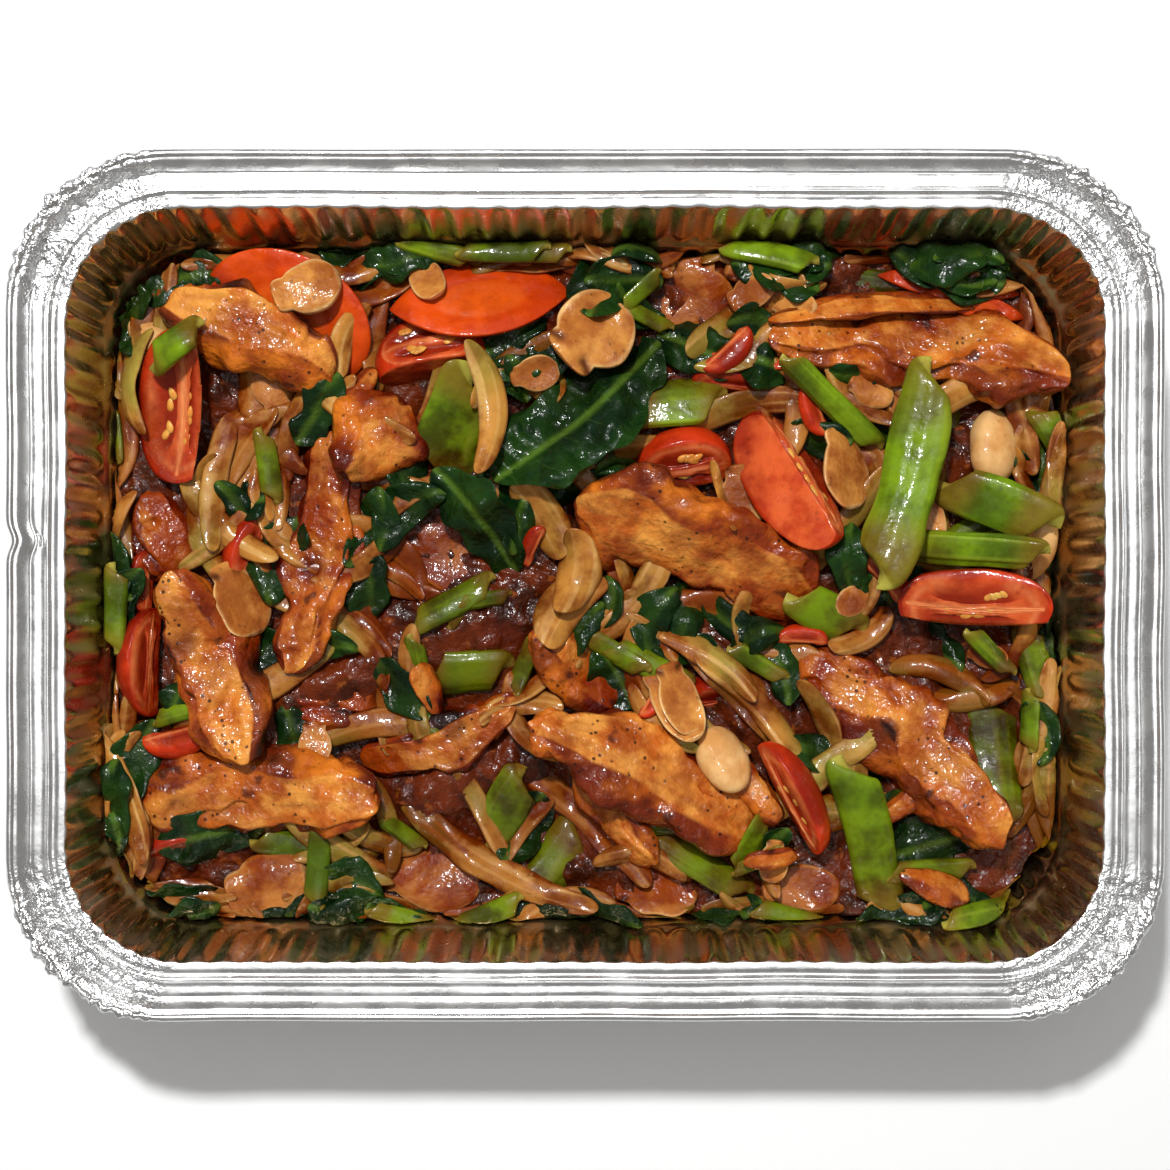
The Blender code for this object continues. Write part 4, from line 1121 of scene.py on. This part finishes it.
# %% Further pieces, one by one
FURTHER = (
    # kind, x, y, heading, (length, width, thickness), bow, level
    ("chicken", -39.6, 27.5, 52, (18, 15, 11), 0, 99),
    ("chicken", 5.6, -43.0, -52, (24, 8.5, 8), 0, 25),
    ("chicken", 53.5, 51.5, 4, (40, 5, 5), 2, 27),
    ("chicken", -82.0, -29.5, 5, (15, 7, 5), 0, 23),
    ("mushroom", -51.5, 55.0, 20, (13, 10, 4.5), 0, 99),
    ("mushroom", 34.0, 57.5, -14, (16, 7, 3), 0, 25),
    ("mushroom", 36.0, 54.0, -22, (15, 6, 3), 0, 27),
    ("mushroom", -64.4, -2.5, -65, (15, 9, 3), 0, 30),
    ("mushroom", 48.6, 22.0, -80, (16, 9, 3), 0, 30),
    ("mushroom", 8.5, 60.5, -5, (17, 6, 3), 0, 25),
    ("mushroom", -12.0, 61.0, 2, (26, 4.5, 2.5), 0, 25),
    ("mushroom", -29.6, 57.5, -60, (9, 7, 5), 0, 26),
    ("mushroom", 17.6, -21.0, -70, (14, 8, 3.5), 0, 30),
    ("peanut", 25.8, -32.5, -60, (13, 9, 8), 0, 26),
    ("peanut", -82.0, 47.0, -40, (9, 6, 5.5), 0, 27),
    ("tomato", -82.5, 0.5, 88, (12, 8, 7), 0, 22),
    ("tomato", -62.4, 7.0, 65, (14, 11, 8), 0, 22),
    ("tomato", 28.0, 37.5, -8, (16, 8, 6), 0, 22),
    ("tomato", -78.0, -50.5, 20, (14, 9, 6), 0, 20),
    ("carrot", 68.5, 56.5, -8, (27, 6, 3), 0, 22),
    ("carrot", 73.0, 52.5, -14, (20, 5, 3), 0, 22),
    ("carrot", 30.5, 42.5, -12, (17, 4, 3), 0, 24),
    ("leaf", -64.2, 15.5, 10, (9, 9, 1), 0, 25),
    ("leaf", -37.3, 2.5, 75, (13, 9, 1), 0, 23),
    ("leaf", 33.0, 42.0, -20, (14, 10, 1), 0, 24),
    ("leaf", 2.5, 56.0, 75, (13, 11, 1), 0, 30),
    ("leaf", 86.0, 22.0, -86, (15, 8, 1), 0, 25),
    ("leaf", -11.5, -45.5, 60, (15, 10, 1), 0, 24),
    ("leaf", 64.0, -49.0, 15, (20, 12, 1), 0, 24),
    ("leaf", 6.0, -17.0, -60, (14, 10, 1), 0, 23),
    ("leaf", 18.0, -11.5, -10, (14, 8, 1), 0, 24),
    ("leaf", -70.0, -46.5, 15, (22, 10, 1), 0, 24),
    ("leaf", 54.0, 2.5, -60, (14, 10, 1), 0, 24),
    ("leaf", 22.0, 44.0, -20, (18, 10, 1), 0, 25),
    ("leaf", -43.0, 36.0, 30, (9, 6, 1), 0, 26),
    ("stalk", 88.0, 28.0, -55, (11, 6, 4), 0, 26),
    ("stalk", 45.0, -5.3, -30, (12, 8, 5), 0, 25),
    ("stalk", 64.5, -53.8, 3, (15, 5, 4), 0, 24),
    ("stalk", -53.0, -49.2, -10, (17, 5, 4), 0, 24),
    ("stalk", -15.0, -42.0, 60, (13, 8, 4), 0, 24),
    ("stalk", -30.5, -19.0, -80, (18, 4, 3), 0, 28),
    ("stalk", 84.5, -15.0, -75, (14, 6, 4), 0, 24),
    ("stalk", 31.0, -49.0, 60, (11, 5, 4), 0, 24),
    ("stalk", -75.0, 44.0, 35, (10, 6, 4), 0, 99),
    ("onion", -70.2, 12.0, -84, (25, 5.5, 2.6), -4, 26),
    ("onion", -57.4, 19.6, -87, (19, 3.0, 2.2), 1, 27),
    ("onion", -61.5, 22.5, -72, (22, 3.0, 2.2), 1, 26),
    ("onion", -54.5, 33.5, 17, (26, 5.0, 2.6), -3, 27),
    ("onion", -8.0, 12.5, -58, (17, 7.5, 3.0), 1, 99),
    ("onion", -3.0, -4.0, 50, (17, 9, 4.0), 2, 28),
    ("onion", -2.0, 2.5, 80, (16, 8, 4.0), -2, 28),
    ("onion", 25.6, 16.6, -74, (14, 2.2, 2.0), 0, 99),
    ("onion", 27.6, 49.0, 32, (21, 6, 2.8), 1, 27),
    ("onion", -9.6, 39.5, -40, (14, 8, 3), 1, 25),
    ("onion", 32.5, -25.0, -50, (34, 5.0, 2.6), 3, 26),
    ("onion", 23.5, -14.5, -34, (22, 5.0, 2.6), 2, 26),
    ("onion", 67.0, -17.5, -20, (20, 5.0, 2.4), 3, 25),
    ("onion", 80.0, -12.0, 60, (16, 4.0, 2.4), -3, 26),
    ("onion", -46.0, -53.0, 34, (24, 4.5, 3), -2, 25),
    ("onion", 36.0, -52.5, 78, (12, 4.0, 2.6), 2, 25),
    ("onion", -83.5, 38.0, 86, (20, 4.5, 2.4), 4, 99),
    ("onion", 44.5, -26.5, -68, (20, 4.0, 2.4), 2, 26),
    ("onion", 10.5, -52.0, -10, (18, 4.5, 2.4), 3, 24),
    ("onion", -12.0, -23.0, 10, (16, 5.0, 2.6), 2, 25),
    ("onion", 52.0, -9.0, 30, (14, 5.0, 2.6), -2, 25),
    ("onion", 44.0, 45.5, -30, (22, 4.0, 2.4), 2, 24),
    ("onion", -40.0, -46.0, -30, (20, 4.5, 2.6), -3, 26),
    ("onion", -44.0, 46.0, 70, (15, 4.5, 2.6), 2, 25),
)

# Rings and points a ring, for pieces that are smaller than the named ones.
FURTHER_DETAIL = (60, 44)

for number, (kind, x, y, heading, size, bow, level) in enumerate(FURTHER):
    lie = heap.rest(x, y, heading, size, bow, level)
    lay(f"{kind}_further_{number}", kind, lie, 700 + 10 * number, detail=FURTHER_DETAIL)
    heap.cover(lie)
print(len(FURTHER), "further pieces")

# %% [markdown]
# The last gaps take scraps by the hundred. All scraps of one kind are one mesh: a short,
# coarse version of the same shape, repeated with its own size, bend and tilt each time. A
# scrap is only kept where the heap is still low, so none of them lands on a large piece.

# %% Scraps
SCRAPS = {
    # kind: (how many, length, width, thickness), each drawn between half and the full size
    "onion": (150, 30.0, 6.0, 1.8),
    "leaf": (95, 19.0, 10.0, 1.0),
    "mushroom": (12, 14.0, 10.0, 2.6),
    "stalk": (30, 17.0, 5.5, 3.2),
    "tomato": (7, 14.0, 9.0, 4.0),
    "chicken": (14, 20.0, 8.0, 5.0),
}
SCRAP_LEVEL = 22.5
MOST_TRIES = 6000
SCRAP_DETAIL = (20, 18)


def scatter(kind, count, length, width, thick, random):
    """All scraps of one kind as one mesh."""
    skins, marks, tries = [], {}, 0
    while len(skins) < count and tries < MOST_TRIES:
        tries += 1
        x, y = random.uniform(-1, 1, 2) * (LIP_HALF - 5)
        inset = wall_inset(np.array(x), np.array(y))
        level = SCRAP_LEVEL + 2.0 * waves([[x, y]], 30, 71)[0] + 0.5 * float(inset < 9)
        nearest = 0.8 if kind in ("leaf", "onion", "stalk") else 7.0
        if open_corner(x, y) > 0.4:
            continue
        if inset < nearest or heap.at(np.array(x), np.array(y)) > level or heap.near_named(x, y):
            continue
        size = np.array([length, width, thick]) * random.uniform(0.5, 1.0)
        heading = random.uniform(-180, 180)
        if inset < length / 2:
            heading = 90 * (abs(x) / LIP_HALF[0] > abs(y) / LIP_HALF[1]) + random.uniform(-25, 25)
        bow = random.uniform(-0.22, 0.22) * size[0] if kind in ("onion", "leaf") else 0.0
        lie = heap.rest(x, y, heading, size, bow, level + 1.0, 0.25)
        lie.rest[1:3] += random.normal(0, 0.35, 2)
        if heap.hides(lie) > 0.12:
            continue
        heap.cover(lie)
        rings, values = coarse(*SHAPES[kind](lie, int(random.integers(1_000_000))), *SCRAP_DETAIL)
        skins.append(within_wall(with_poles(lie.place(rings))))
        for label, value in values.items():
            marks.setdefault(label, []).append(pole_marks(value))
    marks = {label: np.concatenate(values) for label, values in marks.items()}
    scraps = add_skins(f"{kind}_scraps", skins, rings.shape[:2], FOODS[kind], marks)
    print(kind, len(skins), "scraps after", tries, "tries")
    return scraps


for number, (kind, (count, *size)) in enumerate(SCRAPS.items()):
    scatter(kind, count, *size, np.random.default_rng(800 + number))

# %% [markdown]
# ## Light, floor and camera
#
# The meal is seen from straight above on a pale table. A large, weak panel gives the foil
# something bright to mirror. A small, strong lamp makes the crisp sparkles on the wet food.

# %% Light, floor and camera
MEAL = (0, 0, 0.03)
LENS, CAMERA_ABOVE_RIM = 77, 0.45  # millimetres and metres
TABLE_WHITE, STUDIO_WHITE, STUDIO_STRENGTH = (0.9, 0.9, 0.9, 1), (1.0, 0.98, 0.95, 1), 0.24

floor_mesh = bpy.data.meshes.new("floor")
floor_mesh.from_pydata([(-1, -1, 0), (1, -1, 0), (1, 1, 0), (-1, 1, 0)], [], [(0, 1, 2, 3)])
floor = bpy.data.objects.new("floor", floor_mesh)
bpy.context.scene.collection.objects.link(floor)
pale = bpy.data.materials.new("pale floor")
pale.use_nodes = True
pale.node_tree.nodes["Principled BSDF"].inputs["Base Color"].default_value = TABLE_WHITE
floor_mesh.materials.append(pale)


def area_light(name, place, size, power):
    """A square light that looks at the meal. Places and sizes are in metres."""
    light = bpy.data.lights.new(name, "AREA")
    light.shape = "SQUARE"
    light.size = size
    light.energy = power
    lamp = bpy.data.objects.new(name, light)
    lamp.location = place
    lamp.rotation_euler = (Vector(MEAL) - Vector(place)).to_track_quat("-Z", "Y").to_euler()
    bpy.context.scene.collection.objects.link(lamp)


area_light("softbox", (0.0, 0.20, 1.1), 0.8, 2.3)
area_light("lamp", (-0.12, 0.38, 0.9), 0.06, 9.0)
bpy.context.scene.view_settings.view_transform = "Standard"
world = bpy.data.worlds.new("studio")
bpy.context.scene.world = world
world.use_nodes = True
background = world.node_tree.nodes["Background"]
background.inputs["Color"].default_value = STUDIO_WHITE
background.inputs["Strength"].default_value = STUDIO_STRENGTH

camera = bpy.data.objects.new("camera", bpy.data.cameras.new("camera"))
camera.data.lens = LENS
camera.location = (0.0, 0.0, TRAY_HEIGHT * MM + CAMERA_ABOVE_RIM)
bpy.context.scene.collection.objects.link(camera)
bpy.context.scene.camera = camera

# %% Finish
triangles = {
    obj.name: sum(len(face.vertices) - 2 for face in obj.data.polygons)
    for obj in bpy.context.scene.objects
    if obj.type == "MESH" and not obj.hide_render
}
largest = max(triangles, key=triangles.get)
print(f"{sum(triangles.values())} triangles in all, {triangles[largest]} in {largest}")
